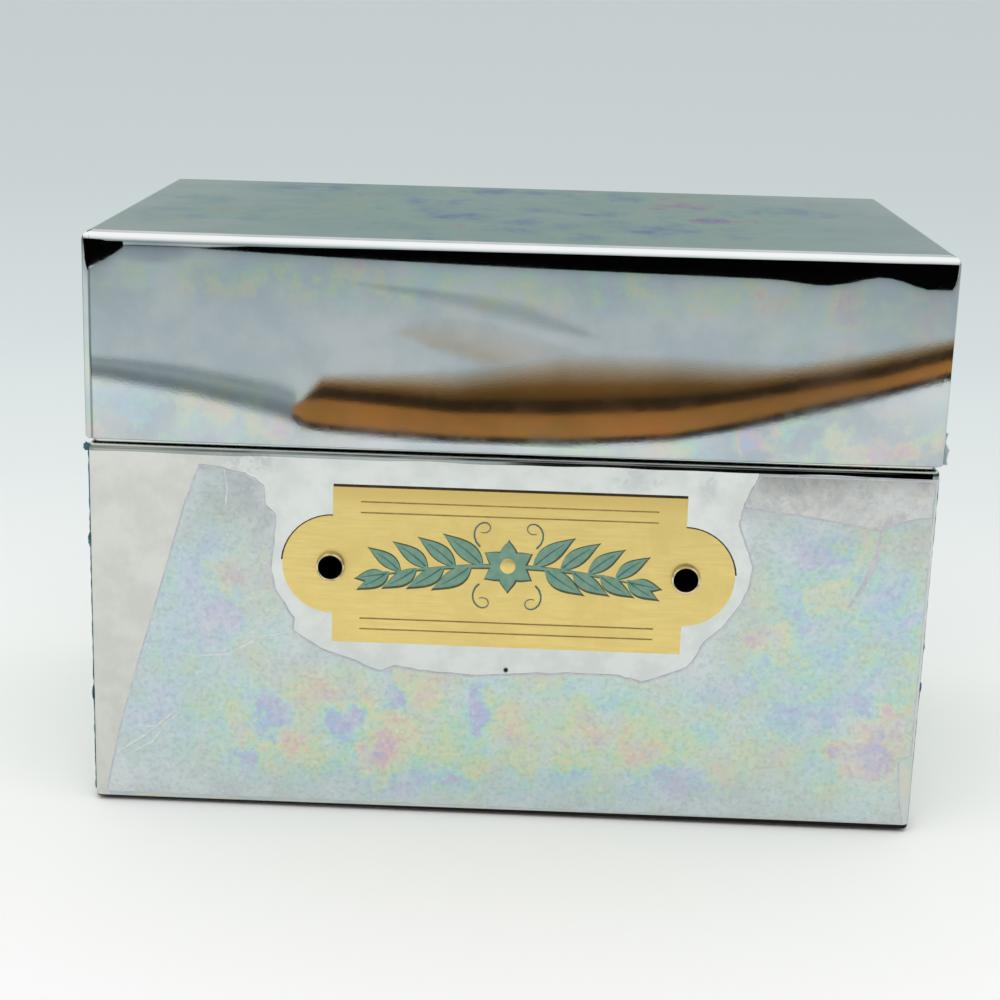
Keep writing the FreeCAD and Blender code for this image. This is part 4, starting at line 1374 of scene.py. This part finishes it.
def flat_sheet(
    bm: bmesh.types.BMesh,
    outline: Sequence[Spot],
    plane: Matrix,
    ragged: Sequence[int] = (),
    lift: float = 0.04,
    rim: float = 0.32,
    thickness: float = 0.09,
    tear: float = 0.3,
) -> None:
    """Adds one thin sheet with torn edges, whose middle lies a little above its rim.

    Args:
        bm: The mesh.
        outline: The sheet's corners in its plane, in millimetres.
        plane: Puts the plane's x and y in the sheet's place and its z outwards.
        ragged: Sides of the outline that are torn, counted from the first corner.
        lift: How far the middle stands above the rim.
        rim: Width of the sloping rim, which gets the second material; 0 leaves it out.
        thickness: Thickness of the sheet.
        tear: How far a torn side wanders.
    """
    start = len(bm.verts)
    corners = [Vector((x, y, 0.0)) for x, y in outline]
    spots = []
    for index, (corner, following) in enumerate(zip(corners, corners[1:] + corners[:1])):
        spots.append(corner)
        for share in (0.25, 0.5, 0.75) if index in ragged else ():
            spot = corner.lerp(following, share)
            wander = noise.noise_vector((plane @ spot) * 0.7) * tear
            spots.append(spot + Vector((wander.x, wander.z, 0.0)))
    face = bm.faces.new([bm.verts.new(spot) for spot in spots])
    face.normal_update()
    if face.normal.z < 0:
        face.normal_flip()
    if rim:
        for sloping in bmesh.ops.inset_region(bm, faces=[face], thickness=rim, use_boundary=True)["faces"]:
            sloping.material_index = 1
    bmesh.ops.translate(bm, vec=(0, 0, lift), verts=list(face.verts))
    settle(bm, start, plane, thickness)


def ridge(bm: bmesh.types.BMesh, spots: Sequence[Spot], width: float, height: float, plane: Matrix) -> None:
    """Adds a fine raised crease along spots in a plane, which fades out at both ends.

    Args:
        bm: The mesh.
        spots: Places along the crease, in millimetres.
        width: Its greatest width.
        height: Its greatest height.
        plane: Puts the plane's x and y in place and its z outwards.
    """
    start = len(bm.verts)
    count = 6 * (len(spots) - 1)
    made = bmesh.ops.create_grid(bm, x_segments=count, y_segments=4, size=1.0)["verts"]
    for vert in made:
        share, side = (vert.co.x + 1) / 2, vert.co.y
        index = min(int(share * (len(spots) - 1)), len(spots) - 2)
        first, last = Vector(spots[index]), Vector(spots[index + 1])
        along = first.lerp(last, share * (len(spots) - 1) - index)
        across = (last - first).orthogonal().normalized()
        taper = math.sin(math.pi * min(max(share, 0.02), 0.98)) ** 0.5
        spot = along + across * side * taper * width / 2
        vert.co = Vector((spot.x, spot.y, height * taper * (1 - side * side)))
    settle(bm, start, plane, 0.02)


@dataclass
class FrontFilm:
    """The film left on the body: on the front, torn away round the nameplate, and on both sides."""

    half_x: float = 69.45
    half_y: float = 44.05
    top: float = 61.5
    foot: float = 1.6
    # The film's left edge on the front, from its foot up to the seam.
    left: tuple[Spot, ...] = (
        (-67.45, 1.6), (-67.2, 3.6), (-65.2, 13.0), (-62.5, 22.9), (-58.5, 36.5), (-53.5, 53.7),
    )
    # The torn edge from the top on the left, under the nameplate, to the top on the right.
    torn: tuple[Spot, ...] = (
        (-51.1, 59.9), (-43.5, 58.7), (-40.3, 56.6), (-40.0, 53.4), (-38.3, 51.6), (-38.5, 47.2),
        (-39.1, 42.2), (-38.4, 39.0), (-35.2, 34.1), (-35.2, 31.8), (-30.6, 28.9), (-26.0, 27.4),
        (-20.9, 25.4), (-18.2, 26.4), (-12.9, 25.7), (-5.3, 25.2), (3.2, 25.8), (13.0, 26.2),
        (19.4, 26.2), (23.2, 25.2), (26.8, 26.5), (30.5, 28.1), (31.9, 30.1), (33.4, 32.9),
        (36.4, 35.8), (38.3, 38.7), (39.9, 42.5), (40.2, 45.8), (38.6, 50.1), (37.6, 53.3),
        (38.2, 55.7), (38.9, 57.9), (40.0, 60.3), (40.4, 61.5),
    )
    # The right edge, from the seam down to a bare corner.
    right: tuple[Spot, ...] = ((68.9, 61.5), (68.9, 14.0), (67.0, 12.6), (67.6, 6.0), (68.5, 1.6))
    # The folded-over corner, from its lower left.
    folded: tuple[Spot, ...] = (
        (38.2, 56.0), (45.6, 54.9), (53.0, 53.9), (60.7, 52.6), (64.5, 54.4), (68.8, 55.2), (68.8, 61.3),
        (40.6, 61.3),
    )
    # Creases: their places, width and height.
    creases: tuple[tuple[tuple[Spot, ...], float, float], ...] = (
        (((-65.2, 9.2), (-60.5, 12.3), (-55.0, 17.2)), 0.6, 0.16),
        (((-64.6, 8.0), (-59.5, 11.0), (-56.2, 15.4)), 0.45, 0.12),
        (((-61.0, 13.6), (-57.5, 14.2), (-54.6, 16.6)), 0.4, 0.10),
        (((-46.9, 59.2), (-46.4, 56.0), (-46.7, 53.0)), 0.3, 0.05),
        (((-36.0, 31.6), (-41.0, 30.4), (-46.5, 27.2), (-52.0, 26.8)), 0.5, 0.08),
        (((-38.0, 35.0), (-41.5, 31.6), (-45.0, 30.4)), 0.35, 0.06),
    )
    # Softer ones in the sheet's own colour.
    folds: tuple[tuple[tuple[Spot, ...], float, float], ...] = (
        (((60.7, 52.6), (60.5, 48.3), (58.8, 43.8), (56.5, 39.4)), 0.9, 0.05),
    )
    # Bits of film that stand out past the body's sides, as places and half sizes.
    bits: tuple[tuple[float, float, float, float], ...] = (
        (-69.7, 46.0, 0.32, 1.3), (-69.6, 19.0, 0.3, 1.4), (-69.9, 62.0, 0.6, 0.8),
        (69.45, 32.6, 0.3, 0.9), (69.45, 25.6, 0.3, 1.0),
    )

    def front_plane(self, out: float) -> Matrix:
        """Gives the plane of the front face, out by some millimetres."""
        return Matrix.Translation((0, -self.half_y - out, 0)) @ Matrix.Rotation(math.radians(90), 4, "X")

    def side_plane(self, side: int, out: float) -> Matrix:
        """Gives the plane of a side face; its x runs backwards on the right and forwards on the left.

        Args:
            side: 1 for the right and -1 for the left.
            out: How far outside the face it lies, in millimetres.

        Returns:
            The plane.
        """
        upright = Matrix.Rotation(math.radians(90), 4, "X")
        turned = Matrix.Rotation(math.radians(90 * side), 4, "Z")
        return Matrix.Translation((side * (self.half_x + out), 0, 0)) @ turned @ upright

    def build_front(self) -> None:
        """Makes the film on the front."""
        bm = bmesh.new()
        ragged = range(len(self.left) - 1, len(self.left) + len(self.torn) - 1)
        flat_sheet(bm, (*self.left, *self.torn, *self.right), self.front_plane(0.1), ragged)
        shifts = (
            (-60.0, 30.0, 18.0, 34.0, -0.10), (54.0, 34.0, 18.0, 30.0, -0.09), (0.0, 5.0, 60.0, 4.0, -0.10),
            (61.5, 15.5, 6.5, 8.5, 0.24), (-39.8, 16.6, 3.6, 4.6, -0.19), (-27.2, 16.8, 3.8, 4.4, -0.17),
            (-43.6, 7.4, 3.2, 2.8, -0.16), (-18.3, 21.8, 3.0, 4.6, -0.19), (-4.4, 20.1, 3.4, 5.0, -0.17),
            (-8.5, 7.3, 3.0, 2.6, -0.14), (32.3, 7.4, 7.0, 4.2, -0.16), (36.3, 24.1, 6.0, 5.0, -0.14),
            (-48.0, 33.0, 5.0, 6.0, -0.12), (-46.5, 41.0, 5.0, 5.0, 0.09), (-21.1, 9.1, 4.2, 4.4, 0.15),
            (-17.2, 13.8, 3.4, 4.2, 0.10), (22.7, 13.0, 4.0, 4.0, 0.08), (45.5, 33.0, 6.0, 4.5, 0.14),
            (-38.2, 11.6, 6.0, 4.0, 0.07), (15.4, 12.7, 9.0, 4.5, 0.05), (32.6, 13.5, 9.0, 4.0, 0.05),
            (52.2, 48.8, 6.0, 3.4, -0.14), (57.5, 47.8, 3.4, 5.0, 0.10), (52.8, 41.5, 7.0, 2.6, 0.11),
            (49.1, 19.1, 7.0, 5.0, -0.06), (3.0, 14.0, 8.0, 6.0, 0.03),
        )
        drift = tuple(Patch((x, -44.0, z), (wide, 20.0, tall), amount) for x, z, wide, tall, amount in shifts)
        shown = (
            Patch((-5.0, -44.0, 15.0), (72.0, 20.0, 15.0)),
            Patch((-50.0, -44.0, 32.0), (18.0, 20.0, 26.0), 0.55),
            Patch((56.0, -44.0, 30.0), (24.0, 20.0, 34.0), 0.85),
        )
        finish = ClearFilm(shown=shown, iridescence=Iridescence(9.0, 0.75, drift))
        new_piece("film_sheet", bm, (finish, FILM_RIM), Body.BASE, ("film_front",))

    def build_fold(self) -> None:
        """Makes the film's folded-over corner, which lies double and greyer, with its crease below."""
        bm = bmesh.new()
        flat_sheet(bm, self.folded, self.front_plane(0.24), range(5), rim=0.25, tear=0.2, thickness=0.06)
        new_piece("film_fold", bm, (FOLDED, FILM_RIM), Body.BASE)
        bm = bmesh.new()
        for spots, width, height in self.creases:
            ridge(bm, spots, width, height, self.front_plane(0.15))
        white = len(bm.faces)
        for spots, width, height in self.folds:
            ridge(bm, spots, width, height, self.front_plane(0.15))
        bm.faces.ensure_lookup_table()
        for face in list(bm.faces)[white:]:
            face.material_index = 1
        new_piece("film_creases", bm, (CREASED, FILM_RIM), Body.BASE)

    def build_sides(self) -> None:
        """Makes the film on both sides, whose ragged front edges stand off the corner."""
        for name, side in (("left", -1), ("right", 1)):
            bm = bmesh.new()
            forward = -side
            front, back = forward * (self.half_y - 1.3), -forward * (self.half_y - 1.6)
            levels = [self.foot + (self.top - self.foot) * i / 14 for i in range(15)]
            outline = [(front, z) for z in levels] + [(back, self.top), (back, self.foot)]
            flat_sheet(bm, outline, self.side_plane(side, 0.1), range(14), rim=0.5, tear=0.5)
            new_piece(f"film_side_{name}", bm, (SIDE_FILM, TEAL_EDGE), Body.BASE)

    def build_bits(self) -> None:
        """Makes the film's coloured edge and the bits that stand out past the body's sides."""
        bm = bmesh.new()
        levels = [self.foot + (self.top - self.foot) * i / 24 for i in range(25)]
        outer, inner = -self.half_x - 0.22, -self.half_x + 0.2
        shapes = [[(outer, z) for z in levels] + [(inner, z) for z in (self.top, self.foot)]]
        for x, z, wide, tall in self.bits:
            turns = [math.tau * i / 7 for i in range(7)]
            shapes.append([(x + wide * math.cos(a), z + tall * math.sin(a)) for a in turns])
        for index, shape in enumerate(shapes):
            plane = self.front_plane(-1.3 + 0.1 * (index % 2))
            flat_sheet(bm, shape, plane, range(24 if index == 0 else 7), lift=0.0, rim=0.0, tear=0.16)
        new_piece("film_edge_bits", bm, (TEAL_EDGE, TEAL_EDGE), Body.BASE)

    def build(self) -> None:
        """Makes all the body's film."""
        self.build_front()
        self.build_fold()
        self.build_sides()
        self.build_bits()


@dataclass
class Eyelets:
    """The two rolled eyelets that hold the nameplate."""

    plate_shift: float = 0.15
    reach: float = 29.3
    level: float = 43.45
    wall_face: float = -44.05
    plate: float = 0.5
    bore: float = 3.8
    tube: float = 0.25
    flange: float = 4.9
    lip: float = 1.1
    tail: float = 5.4
    tail_height: float = 0.4
    sheet: float = 0.4
    sharp_angle: float = 50.0

    def build(self) -> None:
        """Makes both eyelets by spinning one section each."""
        inner = self.bore / 2
        outer = inner + self.tube
        front = self.wall_face - self.plate
        back = self.wall_face + self.sheet
        rolled = []
        middle = (inner + self.flange / 2) / 2
        half = (self.flange / 2 - inner) / 2
        for index in range(9):
            angle = math.radians(180 - 180 * index / 8)
            height = self.lip * (0.35 + 0.65 * math.sin(angle))
            rolled.append((middle + half * math.cos(angle), front - height))
        section = [(inner, back + self.tail_height), *rolled, (self.flange / 2, front), (outer, front),
                   (outer, back), (self.tail / 2, back), (self.tail / 2, back + self.tail_height)]
        for name, side in (("left", -1), ("right", 1)):
            x = self.plate_shift + side * self.reach
            bm = bmesh.new()
            verts = [bm.verts.new((x + r, y, self.level)) for r, y in section]
            edges = [bm.edges.new(pair) for pair in zip(verts, verts[1:] + verts[:1])]
            bmesh.ops.spin(
                bm, geom=verts + edges, cent=(x, 0, self.level), axis=(0, 1, 0), dvec=(0, 0, 0),
                angle=math.tau, steps=40, use_merge=True, use_duplicate=False,
            )
            bmesh.ops.remove_doubles(bm, verts=list(bm.verts), dist=WELD)
            new_piece(
                f"rolled_eyelet_{name}", bm, (BRASS,), Body.BASE, (f"eyelet_{name}",),
                self.sharp_angle,
            )


def polyline_ribbon(spots: Sequence[Spot], width: float, taper: float = 0.7) -> list[Spot]:
    """Gives the outline of a ribbon.

    Args:
        spots: Places along its middle.
        width: Its width at the first spot.
        taper: The share of its width that it loses up to the last one.

    Returns:
        The outline's spots.
    """
    left, right = [], []
    for index, spot in enumerate(spots):
        before, after = Vector(spots[max(index - 1, 0)]), Vector(spots[min(index + 1, len(spots) - 1)])
        half = width / 2 * (1 - taper * index / (len(spots) - 1))
        across = (after - before).orthogonal().normalized() * half
        left.append(tuple(Vector(spot) + across))
        right.append(tuple(Vector(spot) - across))
    return left + right[::-1]


@dataclass
class PlateArt:
    """What is drawn on the nameplate: a leaf sprig with a rosette in green enamel, and its engraving."""

    centre_x: float = 0.15
    centre_z: float = 43.7
    face: float = -44.55
    relief: float = 0.06
    half_width: float = 20.0
    pairs: int = 4
    leaf_length: float = 8.8
    leaf_width: float = 2.9
    stem_width: float = 0.6
    plate_half: Spot = (29.0, 13.3)
    ear_radius: float = 8.35
    ear_level: float = 43.45
    line_length: float = 48.8
    lines: tuple[tuple[float, float], ...] = ((54.6, 0.24), (52.77, 0.22), (34.63, 0.15), (32.8, 0.17))

    def stem(self, along: float) -> float:
        """Gives the stem's height at a share of its half width."""
        return self.centre_z + 0.8 - 2.0 * along * along

    def raise_outline(self, bm: bmesh.types.BMesh, spots: Sequence[Spot], depth: float) -> None:
        """Adds a flat raised shape on the plate's face.

        Args:
            bm: The mesh.
            spots: The shape's outline.
            depth: How far it stands out, in millimetres.
        """
        verts = [bm.verts.new((x, self.face + 0.02, z)) for x, z in spots]
        edges = [bm.edges.new(pair) for pair in zip(verts, verts[1:] + verts[:1])]
        face = bmesh.ops.contextual_create(bm, geom=edges)["faces"][0]
        made = bmesh.ops.extrude_face_region(bm, geom=[face])["geom"]
        top = [g for g in made if isinstance(g, bmesh.types.BMVert)]
        bmesh.ops.translate(bm, vec=(0, -depth - 0.02, 0), verts=top)

    def leaf_places(self) -> list[tuple[Spot, float, float, float, float]]:
        """Gives each leaf's stalk, direction, length, width and bend."""
        places = []
        for side in (-1, 1):
            for index in range(self.pairs):
                along = (index + 0.9) / (self.pairs + 0.4)
                size = 1.0 - 0.3 * along
                for turn, factor, stagger in ((46, 1.0, 0.0), (-42, 0.92, 1.9)):
                    foot = (self.centre_x + side * (self.half_width * along + stagger), self.stem(along))
                    heading = turn if side > 0 else 180 - turn
                    bend = -1.2 if turn * side > 0 else 1.2
                    length = self.leaf_length * size * factor
                    places.append((foot, heading, length, self.leaf_width * size, bend))
            tip = (self.centre_x + side * self.half_width, self.stem(1.0))
            places.append((tip, -10 if side > 0 else 190, 5.2, 2.0, 0.0))
        return places

    def turned(self, base: Spot, angle: float, x: float, y: float) -> Spot:
        """Gives the spot at x along and y to the left of a direction from a base."""
        cos, sin = math.cos(math.radians(angle)), math.sin(math.radians(angle))
        return (base[0] + x * cos - y * sin, base[1] + x * sin + y * cos)

    def leaf(self, base: Spot, angle: float, length: float, width: float, bend: float = 0.0) -> list[Spot]:
        """Gives the outline of one pointed leaf.

        Args:
            base: Where its stalk meets the stem.
            angle: Its direction in degrees from the right, anticlockwise.
            length: Its length.
            width: Its greatest width.
            bend: How far its tip curves to the left of its direction.

        Returns:
            The outline's spots, anticlockwise.
        """
        steps = 12
        shares = [i / steps for i in range(steps + 1)]
        sides = [(s, -1) for s in shares] + [(s, 1) for s in reversed(shares[1:-1])]
        spots = []
        for share, side in sides:
            half = width / 2 * math.sin(math.pi * share**0.8) ** 1.15
            spots.append(self.turned(base, angle, share * length, side * half + bend * share * share))
        return spots

    def shapes(self, grow: float) -> list[list[Spot]]:
        """Gives the outlines of the stem, leaves and petals.

        Args:
            grow: How far each outline is moved outwards, in millimetres.

        Returns:
            The outlines.
        """
        shapes = []
        for side in (-1, 1):
            shares = [i / 16 for i in range(17)]
            stem = [(self.centre_x + side * self.half_width * s, self.stem(s)) for s in shares]
            shapes.append(polyline_ribbon(stem, self.stem_width + 2 * grow))
        for foot, heading, length, width, bend in self.leaf_places():
            shapes.append(self.leaf(foot, heading, length + 2 * grow, width + 2 * grow, bend))
        for petal in range(6):
            spot = (self.centre_x, self.centre_z + 0.8)
            shapes.append(self.leaf(spot, 60 * petal + 30, 4.4 + grow, 2.7 + grow * 2))
        return shapes

    def hairlines(self) -> list[list[Spot]]:
        """Gives the outlines of the leaves' midribs and of four curled tendrils."""
        shapes = []
        for foot, heading, length, _, bend in self.leaf_places():
            shares = (0.08, 0.25, 0.42, 0.6, 0.78)
            rib = [self.turned(foot, heading, share * length, bend * share * share) for share in shares]
            shapes.append(polyline_ribbon(rib, 0.26))
        for side in (-1, 1):
            for up in (-1, 1):
                curl = []
                for index in range(15):
                    share = index / 14
                    angle = math.radians(-60 + 330 * share)
                    reach = 2.1 * (1 - 0.55 * share)
                    curl.append((
                        self.centre_x + side * (4.6 + reach * math.cos(angle) - 1.0 * (1 - share)),
                        self.centre_z + 0.8 + up * (6.6 + reach * math.sin(angle) - 1.6 * (1 - share)),
                    ))
                shapes.append(polyline_ribbon(curl, 0.3))
        return shapes

    def upper_edges(self) -> list[list[Spot]]:
        """Gives the nameplate's upper edges: the top and each ear's upper quarter."""
        half_x, half_z = self.plate_half
        top = self.centre_z + half_z
        edges = [[(self.centre_x - half_x, top), (self.centre_x, top), (self.centre_x + half_x, top)]]
        for side in (-1, 1):
            quarter = []
            for index in range(11):
                angle = math.radians(90 - 8.5 * index)
                quarter.append((
                    self.centre_x + side * (half_x + self.ear_radius * math.cos(angle)),
                    self.ear_level + self.ear_radius * math.sin(angle),
                ))
            edges.append(quarter)
        return edges

    def build(self) -> None:
        """Makes the enamel, its dark lines, the rosette's boss, painted shade in the engraved lines and a
        painted shadow along the plate's upper edges.
        """
        layers = (
            ("sprig_outline", self.shapes(0.22), self.relief * 0.4, Vector((0.1, 0, -0.1)), OUTLINE),
            ("sprig_enamel", self.shapes(0.0), self.relief, Vector(), GREEN),
            ("sprig_hairlines", self.hairlines(), self.relief * 1.7, Vector(), HAIRLINE),
        )
        for name, shapes, depth, slip, finish in layers:
            bm = bmesh.new()
            for index, spots in enumerate(shapes):
                self.raise_outline(bm, spots, depth + index * 0.0006)
            bmesh.ops.translate(bm, vec=slip, verts=bm.verts)
            new_piece(name, bm, (finish,), Body.BASE)
        bm = bmesh.new()
        boss = bmesh.ops.create_uvsphere(bm, u_segments=32, v_segments=12, radius=1.3)["verts"]
        bmesh.ops.scale(bm, vec=(1.0, 0.14, 1.0), verts=boss)
        bmesh.ops.translate(bm, vec=(self.centre_x, self.face - self.relief, self.centre_z + 0.8), verts=boss)
        new_piece("rosette_boss", bm, (GOLD,), Body.BASE)
        # Painted shade: dark brown strips over the plate's four engraved lines.
        bm = bmesh.new()
        for level, width in self.lines:
            ends = (self.centre_x - self.line_length / 2, self.centre_x + self.line_length / 2)
            corners = [(ends[0], level - width / 2), (ends[1], level - width / 2),
                       (ends[1], level + width / 2), (ends[0], level + width / 2)]
            self.raise_outline(bm, corners, 0.004)
        new_piece("engraving_painted_shade_strips", bm, (PAINTED_GROOVE_SHADE,), Body.BASE)
        # Painted shadow: a dark brown band behind the plate that shows above its top edge and the ears' upper
        # quarters.
        bm = bmesh.new()
        flat = Matrix.Translation((0, self.face + 0.45, 0)) @ Matrix.Rotation(math.radians(90), 4, "X")
        for spots in self.upper_edges():
            flat_sheet(bm, polyline_ribbon(spots, 0.7, 0.0), flat, lift=0.0, rim=0.05, thickness=0.03)
        new_piece("painted_shadow_over_plate", bm, (PAINTED_EDGE_SHADOW,), Body.BASE)


@dataclass
class BodyWalls:
    """The body's walls, bottom and hinges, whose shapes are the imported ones."""

    nodes: Mapping[str, bpy.types.Object]

    def build(self) -> None:
        """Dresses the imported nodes."""
        dress(self.nodes["body_shell"], BodyChrome(shown=FILMED_SIDES).material())
        dress(self.nodes["bottom_panel"], PANEL.material())
        dress(self.nodes["nameplate"], GOLD.material())
        for name, node in self.nodes.items():
            if name.startswith("hinge_"):
                dress(node, HINGE_STEEL.material())


def main() -> None:
    """Loads the frame, dresses the box and sets the scene."""
    logging.basicConfig(level=logging.INFO, format="%(name)s: %(message)s")
    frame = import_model()
    noise.seed_set(TEAR_SEED)
    bpy.context.scene.view_settings.view_transform = "Standard"
    viewpoint = Viewpoint()
    viewpoint.build()
    Studio(viewpoint).build()
    BodyWalls(frame["nodes"]).build()
    Lid().build()
    FrontFilm().build()
    Eyelets().build()
    PlateArt().build()


if __name__ == "__main__":
    main()
